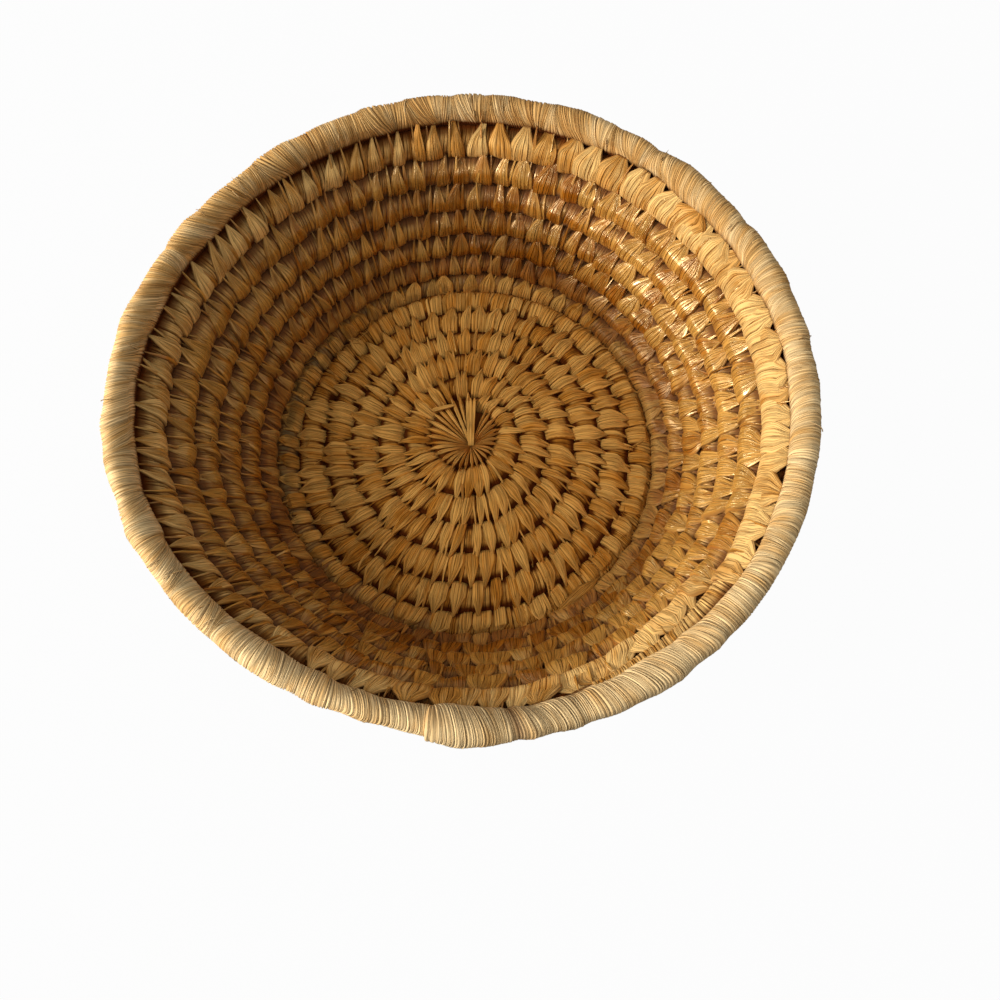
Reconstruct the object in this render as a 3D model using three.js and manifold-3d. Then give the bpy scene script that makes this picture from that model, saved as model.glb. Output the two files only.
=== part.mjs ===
// Coiled basket bowl: one unbroken bundle of grass, wound clockwise from a small rosette into a flat
// base, a flared wall and a thick rim, and bound all along with strips of palm leaf.
// Millimetres, +Z up, origin on the ground under the middle of the bowl, +Y the side of the start.
import * as THREE from 'three';
import { mergeVertices } from 'three/addons/utils/BufferGeometryUtils.js';
import Module from 'manifold-3d';

// Overall shape
const RIM_OUTSIDE_DIAMETER = 302;
const BOWL_HEIGHT = 110;
const BASE_FLAT_RADIUS = 99.2; // where the coil starts to turn up
const CORNER_RADIUS = 9; // of the turn-up, along the middle of the coil
const WALL_FLARE = THREE.MathUtils.degToRad(9.5); // how much more the wall leans out at the rim

// Bound coil
const COIL_THICKNESS = 12;
const RIM_THICKNESS = 13.5;
const SEAT_CUT = COIL_THICKNESS / 10; // cut off under the base, where the bowl stands
const ROW_GAP = 0.5; // between one row and the next
const ROWS_TO_RIM = 13; // turns from the rosette to the rim, on the side of the start
const CORE_THICKNESS = 7.4; // height of the bundle inside the binding
const BINDING_AT_SEAM = 2.4; // binding beside the bundle, where two rows meet
const CORE_CLEARANCE = 0.35;
const BUTT_GAP = 0.3; // between two solids that meet end to end

// Start of the coil
const START_SEAM_RADIUS = 18.1; // radius of the seam that would pass through turn 0
const START_CENTRE = new THREE.Vector2(-3.3, 9.9); // the first turns lie off the middle by this
const CENTRED_AT_ROW = 9; // from this row on they don't
const START_WIDTH = 9; // of the coil where it leaves the rosette, and the length of its straight run
const START_RUN_TURN = 0.075; // turn where that straight run ends
const FULL_WIDTH_TURN = 0.3;
const ROSETTE_HOLE_RADIUS = 1.3;
const ROSETTE_HOLE = new THREE.Vector2(-0.7, 4.2);
const ROSETTE_CROWN = 0.6; // height of its crown over the coil
const ROSETTE_DISH = 1.8; // depth of its middle under the crown
const ROSETTE_SHOULDER = 2.6; // rounding of its outer edge
const STRAND_END = new THREE.Vector2(-5.5, 30.7); // the strand that crosses the rosette ends here
const STRAND_WIDTHS = [2.2, 5.4]; // at the hole and at its end
const STRIP_THICKNESS = 0.8;
const STRIP_CLEARANCE = 0.3;

const WALL_SPLICE_TURN = 9; // half-way up the wall, where a new length of strip begins

// Rim
const LAP_TURN = 12.486; // where the wall's coil becomes the rim's
const RIM_RISE = 0.3; // share of a row that the rim climbs in its turn
const CLIMB_ZONE = 0.175; // share of a turn in which the row below climbs to the rim's level
const TAIL_END_THICKNESS = 6;
const SPLICE_TURNS = [12.98, 13.05]; // where one strip of the rim's binding ends and the next begins
const LEVELLED_FROM_ROW = 6; // the wall's rows are level like the rim from here on, more and more
const SWAY = [ // the rim is not quite round: size in mm, waves round it, and the angle of a crest
  { size: 2.4, waves: 2, crest: THREE.MathUtils.degToRad(89.4) },
  { size: 1.5, waves: 3, crest: THREE.MathUtils.degToRad(12) },
  { size: 0.85, waves: 4, crest: THREE.MathUtils.degToRad(71.4) },
];

// Loose end of a strip, lying on the last row of the base
const TAIL_TURNS = [5.35, 5.412];
const TAIL_WIDTHS = [5.5, 4];

const STEPS_PER_TURN = 24;
const TURN = 2 * Math.PI;

// Each finish: colour, roughness
const PALM = new THREE.MeshStandardMaterial({ color: 0xa8762f, roughness: 0.55, metalness: 0 });
const PALM_WALL = new THREE.MeshStandardMaterial({ color: 0x9a6424, roughness: 0.5, metalness: 0 });
const PALM_RIM = new THREE.MeshStandardMaterial({ color: 0xd6b679, roughness: 0.6, metalness: 0 });
const GRASS = new THREE.MeshStandardMaterial({ color: 0x6d4a22, roughness: 0.9, metalness: 0 });

const wasm = await Module();
wasm.setup();

// Half section of the bowl, along the middle of the coil: flat, then the corner's arc, then the
// wall's arc, which leans out more and more. The foot's slope is the one whose arc ends at the rim.
const BASE_MID = COIL_THICKNESS / 2 - SEAT_CUT;
const RIM_MID = new THREE.Vector2(
  RIM_OUTSIDE_DIAMETER / 2 - RIM_THICKNESS / 2,
  BOWL_HEIGHT - RIM_THICKNESS / 2,
);

function cornerEnd(slope) {
  return new THREE.Vector2(
    BASE_FLAT_RADIUS + CORNER_RADIUS * Math.sin(slope),
    BASE_MID + CORNER_RADIUS * (1 - Math.cos(slope)),
  );
}

function solveFootSlope() {
  let slope = Math.PI / 3;
  for (let i = 0; i < 30; i++) {
    slope = RIM_MID.clone().sub(cornerEnd(slope)).angle() + WALL_FLARE / 2;
  }
  return slope;
}

const FOOT_SLOPE = solveFootSlope();
const WALL_CHORD = RIM_MID.distanceTo(cornerEnd(FOOT_SLOPE));
const WALL_LENGTH = (WALL_CHORD * WALL_FLARE) / 2 / Math.sin(WALL_FLARE / 2);
const CORNER_LENGTH = CORNER_RADIUS * FOOT_SLOPE;
const RIM_AT = BASE_FLAT_RADIUS + CORNER_LENGTH + WALL_LENGTH;
const ROW_PITCH = (RIM_AT - START_SEAM_RADIUS) / ROWS_TO_RIM;
const BASE_TURNS = (BASE_FLAT_RADIUS - START_SEAM_RADIUS) / ROW_PITCH;

// Radius and height of the half section at a length along it
function halfSection(length) {
  if (length <= BASE_FLAT_RADIUS) return new THREE.Vector2(length, BASE_MID);
  const turned = Math.min((length - BASE_FLAT_RADIUS) / CORNER_RADIUS, FOOT_SLOPE);
  const place = cornerEnd(turned);
  const up = length - BASE_FLAT_RADIUS - CORNER_LENGTH;
  if (up <= 0) return place;
  const curl = WALL_FLARE / WALL_LENGTH;
  const slope = FOOT_SLOPE - curl * up;
  place.x += (Math.sin(FOOT_SLOPE) - Math.sin(slope)) / curl;
  place.y += (Math.cos(slope) - Math.cos(FOOT_SLOPE)) / curl;
  return place;
}

// Share of a row that a spiral has climbed since the lap, which the climb zone takes back
function climbed(turn) {
  const round = turn - LAP_TURN - Math.floor(turn - LAP_TURN);
  const t = Math.max(0, (round - (1 - CLIMB_ZONE)) / CLIMB_ZONE);
  const back = t * t * (3 - 2 * t);
  return Math.min(round, 1 - CLIMB_ZONE) * (1 - back) - 0.5;
}

function sway(angle) {
  return SWAY.reduce((sum, w) => sum + w.size * Math.cos(w.waves * (angle - w.crest)), 0);
}

// A point of the seam at a level, counted in rows, on the side of the bowl that a turn points to
function seam(level, turn) {
  const angle = turn * TURN;
  const rows = RIM_ROW - LEVELLED_FROM_ROW;
  const levelled = THREE.MathUtils.clamp((level - LEVELLED_FROM_ROW) / rows, 0, 1);
  const drawn = level - levelled * (1 - RIM_RISE) * climbed(turn);
  const place = halfSection(START_SEAM_RADIUS + ROW_PITCH * drawn);
  const radius = place.x + (sway(angle) * (place.y - BASE_MID)) / (RIM_MID.y - BASE_MID);
  const off = Math.max(0, 1 - level / CENTRED_AT_ROW);
  return new THREE.Vector3(
    START_CENTRE.x * off + radius * Math.sin(angle),
    START_CENTRE.y * off + radius * Math.cos(angle),
    place.y,
  );
}

const RIM_ROW = LAP_TURN;
const CLIMB_START = LAP_TURN + 1 - CLIMB_ZONE;

function coilThickness(turn) {
  return turn < LAP_TURN ? COIL_THICKNESS : RIM_THICKNESS;
}

// Width of the coil at its start, as a share of the room between its seams; it keeps to the outer one
function startShare(turn) {
  const t = THREE.MathUtils.clamp((turn - START_RUN_TURN) / (FULL_WIDTH_TURN - START_RUN_TURN), 0, 1);
  const first = START_WIDTH / ROW_PITCH;
  return first + (1 - first) * t;
}

// One cross-section of the coil, between the seam under it and the seam over it: its middle, the
// directions across the row and out of the bowl's inside, and its half width and half thickness.
function section(turn, upperLevel = turn + 0.5, upperTurn = turn) {
  const under = seam(turn - 0.5, turn);
  const over = seam(upperLevel, upperTurn);
  const across = over.clone().sub(under);
  const width = across.length() * startShare(turn);
  const along = new THREE.Vector3(Math.cos(turn * TURN), -Math.sin(turn * TURN), 0);
  across.normalize();
  return {
    middle: over.addScaledVector(across, -width / 2),
    across,
    out: along.clone().cross(across).normalize(),
    along,
    halfWidth: (width - ROW_GAP) / 2,
    halfThickness: coilThickness(turn) / 2,
  };
}

// A section between two of the coil's steps, on the straight line from one to the other
function between(turn, make) {
  const step = Math.floor(turn * STEPS_PER_TURN + 1e-9);
  const a = make(step / STEPS_PER_TURN);
  const b = make((step + 1) / STEPS_PER_TURN);
  const t = turn * STEPS_PER_TURN - step;
  return {
    middle: a.middle.lerp(b.middle, t),
    across: a.across.lerp(b.across, t),
    out: a.out.lerp(b.out, t),
    along: a.along.lerp(b.along, t),
    halfWidth: THREE.MathUtils.lerp(a.halfWidth, b.halfWidth, t),
    halfThickness: coilThickness(turn) / 2,
  };
}

// Sections from one turn to another, at the same angles in every row so that their facets line up
function sections(from, to, make = section) {
  const list = [between(from, make)];
  for (let i = Math.floor(from * STEPS_PER_TURN) + 1; i < to * STEPS_PER_TURN; i++) {
    const turn = i / STEPS_PER_TURN;
    const room = Math.min(turn - from, to - turn) * STEPS_PER_TURN;
    if (room > 0.1) list.push(make(turn));
  }
  list.push(between(to, make));
  return list;
}

// The straight run at the start, one coil width long and square to the rosette
function startRun(shortBy = 0) {
  const end = between(START_RUN_TURN, section);
  const ahead = between(START_RUN_TURN + 0.5 / STEPS_PER_TURN, section);
  end.along = ahead.middle.sub(end.middle).setZ(0).normalize();
  end.across = new THREE.Vector3(-end.along.y, end.along.x, 0);
  end.out = new THREE.Vector3(0, 0, 1);
  const begin = { ...end, middle: end.middle.clone().addScaledVector(end.along, shortBy - START_WIDTH) };
  return [begin, end];
}

const HEXAGON = [[1, 0], [0.5, 1], [-0.5, 1], [-1, 0], [-0.5, -1], [0.5, -1]];
const DIAMOND = [[1, 0], [0, 1], [-1, 0], [0, -1]];

function coilSkin(s) {
  return { halfWidth: s.halfWidth, halfThickness: s.halfThickness };
}

function coreSkin(s) {
  return { halfWidth: s.halfWidth - BINDING_AT_SEAM, halfThickness: CORE_THICKNESS / 2 };
}

function boreSkin(s) {
  const core = coreSkin(s);
  const wider = CORE_CLEARANCE * Math.SQRT2;
  return { halfWidth: core.halfWidth + wider, halfThickness: core.halfThickness + wider };
}

// Corners of a polygon set on a section, one ring of points
function ring(s, polygon, skin) {
  const size = skin(s);
  return polygon.map(([u, v]) => s.middle.clone()
    .addScaledVector(s.across, u * size.halfWidth)
    .addScaledVector(s.out, v * size.halfThickness));
}

function geometryOf(points, triangles) {
  const geometry = new THREE.BufferGeometry().setFromPoints(points);
  geometry.setIndex(triangles);
  geometry.computeVertexNormals();
  return geometry;
}

// Closed solid tube through a list of sections
function solidTube(list, polygon, skin) {
  const n = polygon.length;
  const points = list.flatMap((s) => ring(s, polygon, skin));
  const triangles = [];
  for (let i = 0; i + 1 < list.length; i++) {
    for (let k = 0; k < n; k++) {
      const a = i * n + k;
      const b = i * n + ((k + 1) % n);
      triangles.push(a, b, a + n, b, b + n, a + n);
    }
  }
  const last = (list.length - 1) * n;
  for (let k = 1; k + 1 < n; k++) {
    triangles.push(0, k + 1, k);
    triangles.push(last, last + k, last + k + 1);
  }
  return geometryOf(points, triangles);
}

// The binding: a tube through a list of sections, with a bore for the bundle from end to end
function boundTube(list) {
  const n = HEXAGON.length;
  const m = DIAMOND.length;
  const outer = list.flatMap((s) => ring(s, HEXAGON, coilSkin));
  const inner = list.flatMap((s) => ring(s, DIAMOND, boreSkin));
  const base = outer.length;
  const triangles = [];
  for (let i = 0; i + 1 < list.length; i++) {
    for (let k = 0; k < n; k++) {
      const a = i * n + k;
      const b = i * n + ((k + 1) % n);
      triangles.push(a, b, a + n, b, b + n, a + n);
    }
    for (let k = 0; k < m; k++) {
      const a = base + i * m + k;
      const b = base + i * m + ((k + 1) % m);
      triangles.push(a, a + m, b, b, a + m, b + m);
    }
  }
  // Each end is a ring between the hexagon and the diamond, filled by walking round both at once
  for (const [start, hole, flip] of [
    [0, base, true],
    [(list.length - 1) * n, base + (list.length - 1) * m, false],
  ]) {
    let i = 0;
    let j = 0;
    while (i < n || j < m) {
      const outerNext = (i + 1) / n <= (j + 1) / m;
      const third = outerNext ? start + ((i + 1) % n) : hole + ((j + 1) % m);
      const corner = [start + (i % n), third, hole + (j % m)];
      triangles.push(...(flip ? [corner[0], corner[2], corner[1]] : corner));
      if (outerNext) i++;
      else j++;
    }
  }
  return geometryOf(outer.concat(inner), triangles);
}

// A strip of leaf through a list of middles, each with its width, lying flat
function strip(middles, widths, thickness) {
  const list = middles.map((middle, i) => {
    const before = middles[Math.max(0, i - 1)];
    const after = middles[Math.min(middles.length - 1, i + 1)];
    const along = after.clone().sub(before).normalize();
    const across = new THREE.Vector3(-along.y, along.x, 0).normalize();
    return { middle, across, out: along.clone().cross(across), halfWidth: widths[i] / 2 };
  });
  const flat = [[1, -1], [1, 1], [-1, 1], [-1, -1]];
  return solidTube(list, flat, (s) => ({ halfWidth: s.halfWidth, halfThickness: thickness / 2 }));
}

function toSolid(geometry) {
  const bare = new THREE.BufferGeometry();
  bare.setAttribute('position', geometry.getAttribute('position'));
  bare.setIndex(geometry.index);
  const merged = mergeVertices(bare, 1e-5);
  return new wasm.Manifold(new wasm.Mesh({
    numProp: 3,
    vertProperties: merged.attributes.position.array,
    triVerts: new Uint32Array(merged.index.array),
  }));
}

function toGeometry(solid) {
  const mesh = solid.getMesh();
  const geometry = new THREE.BufferGeometry();
  geometry.setAttribute('position', new THREE.BufferAttribute(new Float32Array(mesh.vertProperties), 3));
  geometry.setIndex(new THREE.BufferAttribute(mesh.triVerts, 1));
  geometry.computeVertexNormals();
  return geometry;
}

// Cuts off what lies under the ground, so that the base stands flat
function seated(geometry) {
  const span = 2 * RIM_OUTSIDE_DIAMETER;
  const ground = new THREE.BoxGeometry(span, span, BOWL_HEIGHT);
  ground.translate(0, 0, -BOWL_HEIGHT / 2);
  return toGeometry(toSolid(geometry).subtract(toSolid(ground)));
}

// Rosette: a crowned disc round a small hole, whose outline is the inner side of the first turn
function rosetteOutline(turn) {
  const s = section(turn);
  return s.middle.clone().addScaledVector(s.across, -s.halfWidth - ROW_GAP);
}

function rosetteProfile(hole, edge) {
  const top = 2 * BASE_MID + SEAT_CUT + ROSETTE_CROWN;
  const at = (t, z) => new THREE.Vector3().lerpVectors(hole, edge, t).setZ(z);
  const reach = hole.distanceTo(new THREE.Vector3(edge.x, edge.y, hole.z));
  const shoulder = 1 - ROSETTE_SHOULDER / reach;
  return [
    at(0, 0),
    at(shoulder, 0),
    at(1, ROSETTE_SHOULDER),
    at(1, top - 1.6 * ROSETTE_SHOULDER),
    at(shoulder, top - ROSETTE_SHOULDER / 2),
    at(0.55, top),
    at(0.2, top - ROSETTE_DISH / 2),
    at(0, top - ROSETTE_DISH),
  ];
}

function makeRosette() {
  const lip = 0.01; // the outline's step stands this share of a turn past the start of the coil
  const columns = [];
  for (let i = 0; i < STEPS_PER_TURN; i++) {
    const edge = rosetteOutline(lip + (i * (1 - lip / 10)) / (STEPS_PER_TURN - 1));
    const angle = (i / STEPS_PER_TURN) * TURN + lip * TURN;
    const hole = new THREE.Vector3(
      ROSETTE_HOLE.x + ROSETTE_HOLE_RADIUS * Math.sin(angle),
      ROSETTE_HOLE.y + ROSETTE_HOLE_RADIUS * Math.cos(angle),
      0,
    );
    columns.push(rosetteProfile(hole, edge));
  }
  const n = columns[0].length;
  const triangles = [];
  for (let i = 0; i < columns.length; i++) {
    for (let k = 0; k < n; k++) {
      const a = i * n + k;
      const b = i * n + ((k + 1) % n);
      const c = ((i + 1) % columns.length) * n + k;
      const d = ((i + 1) % columns.length) * n + ((k + 1) % n);
      triangles.push(a, b, c, b, d, c);
    }
  }
  const disc = toSolid(geometryOf(columns.flat(), triangles));
  const grown = (s) => ({ halfWidth: s.halfWidth + BUTT_GAP, halfThickness: s.halfThickness + BUTT_GAP });
  const first = startRun(-BUTT_GAP).concat(sections(START_RUN_TURN, 0.4).slice(1));
  return toGeometry(disc.subtract(toSolid(solidTube(first, HEXAGON, grown))));
}

function makeStartStrand() {
  const top = 2 * BASE_MID + SEAT_CUT + ROSETTE_CROWN + STRIP_CLEARANCE + STRIP_THICKNESS / 2;
  const from = new THREE.Vector3(ROSETTE_HOLE.x, ROSETTE_HOLE.y + 2 * ROSETTE_HOLE_RADIUS, top);
  const to = new THREE.Vector3(STRAND_END.x, STRAND_END.y, top);
  const steps = [0, 0.25, 0.5, 0.75, 1];
  const middles = steps.map((t) => {
    const place = from.clone().lerp(to, t);
    place.z -= (ROSETTE_DISH / 2) * Math.max(0, 1 - t / 0.4) ** 2;
    return place;
  });
  const widths = steps.map((t) => THREE.MathUtils.lerp(STRAND_WIDTHS[0], STRAND_WIDTHS[1], t));
  return strip(middles, widths, STRIP_THICKNESS);
}

function makeSpliceTail() {
  const lift = COIL_THICKNESS / 2 + STRIP_CLEARANCE + STRIP_THICKNESS / 2;
  const list = sections(TAIL_TURNS[0], TAIL_TURNS[1]);
  const middles = list.map((s) => s.middle.clone().addScaledVector(s.out, lift));
  const widths = list.map((s, i) => THREE.MathUtils.lerp(TAIL_WIDTHS[0], TAIL_WIDTHS[1], i / (list.length - 1)));
  return strip(middles, widths, STRIP_THICKNESS);
}

// Turns where one length of binding butts the next
function shareOfTurn(length, turn) {
  return length / (TURN * section(turn).middle.length());
}

function makeBinding(from, to) {
  const open = from + shareOfTurn(BUTT_GAP / 2, from);
  const close = to - shareOfTurn(BUTT_GAP / 2, to);
  return boundTube(sections(open, close));
}

function makeBaseBinding() {
  const close = BASE_TURNS - shareOfTurn(BUTT_GAP / 2, BASE_TURNS);
  const list = startRun().concat(sections(START_RUN_TURN, close).slice(1));
  return seated(boundTube(list));
}

// The rim's end thins out over the row that climbs to its level: its lower side follows that row,
// and its upper side stays where it was.
function tailSection(turn) {
  const level = CLIMB_START + 0.5;
  return section(turn, level - (1 - RIM_RISE) * (climbed(CLIMB_START) - climbed(turn)), turn);
}

function makeRimTail() {
  const open = CLIMB_START + shareOfTurn(BUTT_GAP / 2, CLIMB_START);
  const list = sections(open, LAP_TURN + 1, tailSection);
  list.forEach((s, i) => {
    const t = i / (list.length - 1);
    s.halfThickness = THREE.MathUtils.lerp(RIM_THICKNESS, TAIL_END_THICKNESS, t * t) / 2;
  });
  return solidTube(list, HEXAGON, coilSkin);
}

// The bundle inside, from the rosette to where the rim starts to thin
function makeCore() {
  const inset = shareOfTurn(BUTT_GAP, CLIMB_START);
  const list = startRun(BUTT_GAP).concat(sections(START_RUN_TURN, CLIMB_START - inset).slice(1));
  return solidTube(list, DIAMOND, coreSkin);
}

// Least distance between points of the coil's skin one turn apart, facet edges halved
function leastGap(from, to) {
  const list = sections(from, to).map((s) => ring(s, HEXAGON, coilSkin));
  const dense = [];
  list.forEach((points, i) => {
    points.forEach((p, k) => {
      const along = list[Math.min(i + 1, list.length - 1)][k];
      const round = points[(k + 1) % points.length];
      dense.push({ i, p }, { i, p: p.clone().lerp(along, 0.5) }, { i, p: p.clone().lerp(round, 0.5) });
    });
  });
  let least = Infinity;
  for (const a of dense) {
    for (const b of dense) {
      if (b.i - a.i > STEPS_PER_TURN / 2 && b.i - a.i < STEPS_PER_TURN * 1.5) {
        least = Math.min(least, a.p.distanceTo(b.p));
      }
    }
  }
  return least;
}

console.log('row pitch', ROW_PITCH.toFixed(2), 'mm, foot slope',
  THREE.MathUtils.radToDeg(FOOT_SLOPE).toFixed(1), 'degrees, base turns', BASE_TURNS.toFixed(2));
console.log('least gap of the coil to itself', leastGap(START_RUN_TURN, CLIMB_START).toFixed(2), 'mm');

const bowl = new THREE.Group();

function addPiece(name, geometry, material) {
  const mesh = new THREE.Mesh(geometry, material.clone());
  mesh.name = name;
  bowl.add(mesh);
}

addPiece('start_rosette', makeRosette(), PALM);
addPiece('start_strand', makeStartStrand(), PALM);
addPiece('core_bundle', makeCore(), GRASS);
addPiece('base_binding', makeBaseBinding(), PALM);
addPiece('wall_binding_low', seated(makeBinding(BASE_TURNS, WALL_SPLICE_TURN)), PALM_WALL);
addPiece('wall_binding_high', makeBinding(WALL_SPLICE_TURN, LAP_TURN), PALM_WALL);
const rimCuts = [LAP_TURN, ...SPLICE_TURNS, CLIMB_START];
for (let i = 0; i + 1 < rimCuts.length; i++) {
  addPiece(`rim_binding_${i + 1}`, makeBinding(rimCuts[i], rimCuts[i + 1]), PALM_RIM);
}
addPiece('rim_tail', makeRimTail(), PALM_RIM);
addPiece('splice_tail', makeSpliceTail(), PALM_WALL);

export default bowl;
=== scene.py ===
"""Looks of a coiled basket bowl: one spiral of bound grass, from its rosette to its rim.

Every shape is a function of two parameters on a grid. The coil's path is the CAD source's: the same
driving sizes, in metres, worked out again with numpy, so each piece lies where its solid lies.
"""

import logging
import math
from dataclasses import dataclass, field, replace
from enum import Enum
from functools import cache

import bpy
import numpy as np
from mathutils import Matrix


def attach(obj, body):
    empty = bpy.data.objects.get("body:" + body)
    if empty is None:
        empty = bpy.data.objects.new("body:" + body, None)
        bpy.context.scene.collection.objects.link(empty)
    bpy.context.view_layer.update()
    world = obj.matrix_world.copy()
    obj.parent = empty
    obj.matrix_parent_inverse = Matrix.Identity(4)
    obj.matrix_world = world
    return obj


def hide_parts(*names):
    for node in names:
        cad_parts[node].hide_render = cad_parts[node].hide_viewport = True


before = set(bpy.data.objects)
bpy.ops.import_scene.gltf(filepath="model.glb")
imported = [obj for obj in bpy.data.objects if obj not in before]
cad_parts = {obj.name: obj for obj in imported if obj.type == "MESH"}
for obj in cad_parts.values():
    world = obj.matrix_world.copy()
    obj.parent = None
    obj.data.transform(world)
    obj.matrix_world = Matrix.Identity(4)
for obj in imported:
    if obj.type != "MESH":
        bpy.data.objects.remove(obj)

LOG = logging.getLogger("basket")
TURN = 2 * math.pi
UP = np.array([0.0, 0.0, 1.0])
FIBRE_MAP = "fibre"
FIBRE_SPREAD = 3
MILLIMETRE = 0.001
CREASE_ANGLE = math.radians(35)
GROUND_SOFTNESS = 0.0014
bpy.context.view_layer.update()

Rng = np.random.Generator
Array = np.ndarray
Values = Array | float
Pair = tuple[float, float]
Triple = tuple[float, float, float]
Colour = Triple
Stops = tuple[Pair, ...]
Socket = bpy.types.NodeSocket
Feed = Socket | Colour | float | None


def smooth(t: Array) -> Array:
    """Eases 0 to 1 with level ends: 3t squared less 2t cubed, t held between 0 and 1."""
    t = np.clip(t, 0.0, 1.0)
    return t * t * (3 - 2 * t)


def between(stops: Stops, place: Array) -> Array:
    """Value at each place between stops, each of them a place and the value there."""
    return np.interp(place, *np.array(stops).T)


def drift(rng: Rng, place: Array, cell: float) -> Array:
    """Random values from -1 to 1 that change smoothly along a length.

    Args:
        rng: source of the values.
        place: distances along the length, in metres, none below zero.
        cell: distance from one random value to the next.

    Returns:
        A value for each place, eased between the two values of its cell.
    """
    at = place / cell
    low = np.floor(at).astype(int)
    knots = rng.uniform(-1, 1, int(low.max()) + 2)
    share = smooth(at - low)
    return knots[low] * (1 - share) + knots[low + 1] * share


@dataclass(frozen=True)
class Sections:
    """Cross-sections of the coil, one for each turn that was asked for."""

    middle: Array
    across: Array
    out: Array
    half_width: Array
    half_thickness: Array


@dataclass(frozen=True)
class CoilPath:
    """The spiral that the coil follows, in metres, counted in turns clockwise from +Y."""

    rim_outside_diameter: float = 0.302
    bowl_height: float = 0.110
    base_flat_radius: float = 0.0992
    corner_radius: float = 0.009
    wall_flare: float = math.radians(9.5)
    coil_thickness: float = 0.012
    rim_thickness: float = 0.0135
    rows_to_rim: float = 13
    start_seam_radius: float = 0.0181
    start_centre: Pair = (-0.0033, 0.0099)
    centred_at_row: float = 9
    start_width: float = 0.009
    start_turn: float = 0.075
    full_width_turn: float = 0.3
    lap_turn: float = 12.486
    rim_rise: float = 0.3
    climb_zone: float = 0.175
    taking_in: float = 0.1
    levelled_from_row: float = 6
    seam_sharpness: float = 1.35
    slope_rounds: int = 30
    length_steps: int = 800
    map_steps: int = 4000
    map_end: float = 1.2
    sway: tuple[tuple[float, int, float], ...] = (
        (0.0024, 2, math.radians(89.4)),
        (0.0015, 3, math.radians(12)),
        (0.00085, 4, math.radians(71.4)),
    )

    @property
    def base_mid(self) -> float:
        """Height of the middle of the base's coil: half a coil less a tenth, cut off under it."""
        return 0.4 * self.coil_thickness

    @property
    def rim_mid(self) -> Pair:
        """Radius and height of the middle of the rim."""
        half = self.rim_thickness / 2
        return self.rim_outside_diameter / 2 - half, self.bowl_height - half

    @property
    def climb_start(self) -> float:
        """Turn where the rim's end begins to come down on the row below."""
        return self.lap_turn + 1 - self.climb_zone

    def corner_end(self, slope: Values) -> tuple:
        """Point on the corner's arc: a quarter-round-like turn-up from the flat base.

        Args:
            slope: angle turned so far, in radians.

        Returns:
            Radius and height.
        """
        radius = self.base_flat_radius + self.corner_radius * np.sin(slope)
        return radius, self.base_mid + self.corner_radius * (1 - np.cos(slope))

    def foot_slope(self) -> float:
        """Slope of the wall's foot: the chord to the rim plus half of the wall's flare.

        Returns:
            The angle over the ground, in radians, found by repeating the sum.
        """
        slope = math.pi / 3
        for _ in range(self.slope_rounds):
            radius, height = self.corner_end(slope)
            rise, run = self.rim_mid[1] - height, self.rim_mid[0] - radius
            slope = math.atan2(rise, run) + self.wall_flare / 2
        return slope

    def wall_length(self) -> float:
        """Length of the wall's arc: its chord times half the flare over that half's sine.

        Returns:
            The length in metres.
        """
        radius, height = self.corner_end(self.foot_slope())
        chord = math.hypot(self.rim_mid[0] - radius, self.rim_mid[1] - height)
        return chord * self.wall_flare / 2 / math.sin(self.wall_flare / 2)

    def pitch(self) -> float:
        """Width of a row along the half section, from the start's seam to the rim in rows."""
        reach = self.base_flat_radius + self.corner_radius * self.foot_slope() + self.wall_length()
        return (reach - self.start_seam_radius) / self.rows_to_rim

    def base_turns(self) -> float:
        """Turns that lie in the flat base."""
        return (self.base_flat_radius - self.start_seam_radius) / self.pitch()

    def half_section(self, length: Array) -> tuple[Array, Array]:
        """Half section of the bowl: flat, then the corner's arc, then the wall's flatter arc.

        Args:
            length: distance from the middle of the base along the middle of the coil.

        Returns:
            Radii and heights.
        """
        foot = self.foot_slope()
        curl = self.wall_flare / self.wall_length()
        turned = np.clip((length - self.base_flat_radius) / self.corner_radius, 0, foot)
        radius, height = self.corner_end(turned)
        radius = radius + np.minimum(length - self.base_flat_radius, 0)
        up = np.maximum(length - self.base_flat_radius - self.corner_radius * foot, 0)
        slope = foot - curl * up
        radius = radius + (math.sin(foot) - np.sin(slope)) / curl
        return radius, height + (np.cos(slope) - math.cos(foot)) / curl

    def climbed(self, turn: Array) -> Array:
        """Share of a row climbed since the lap, eased back to none over the climb zone.

        Args:
            turn: turns, any shape.

        Returns:
            Shares from -0.5 to 0.5, as many as turns.
        """
        past = np.mod(turn - self.lap_turn, 1.0)
        back = smooth((past - (1 - self.climb_zone)) / self.climb_zone)
        return np.minimum(past, 1 - self.climb_zone) * (1 - back) - 0.5

    def seam(self, level: Array, turn: Array) -> Array:
        """Points of the seam at a level, counted in rows, on the side that a turn points to.

        The radius is the half section's plus waves that grow with height, round a middle that
        moves from the start's to the bowl's as the level rises.

        Args:
            level: levels, any shape.
            turn: turns, of the same shape.

        Returns:
            Points, with one more axis.
        """
        angle = turn * TURN
        share = (level - self.levelled_from_row) / (self.lap_turn - self.levelled_from_row)
        drawn = level - np.clip(share, 0, 1) * (1 - self.rim_rise) * self.climbed(turn)
        radius, height = self.half_section(self.start_seam_radius + self.pitch() * drawn)
        waves = sum(size * np.cos(count * (angle - crest)) for size, count, crest in self.sway)
        radius = radius + waves * (height - self.base_mid) / (self.rim_mid[1] - self.base_mid)
        off = np.maximum(0, 1 - level / self.centred_at_row)
        x = self.start_centre[0] * off + radius * np.sin(angle)
        y = self.start_centre[1] * off + radius * np.cos(angle)
        return np.stack([x, y, height], axis=-1)

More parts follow.
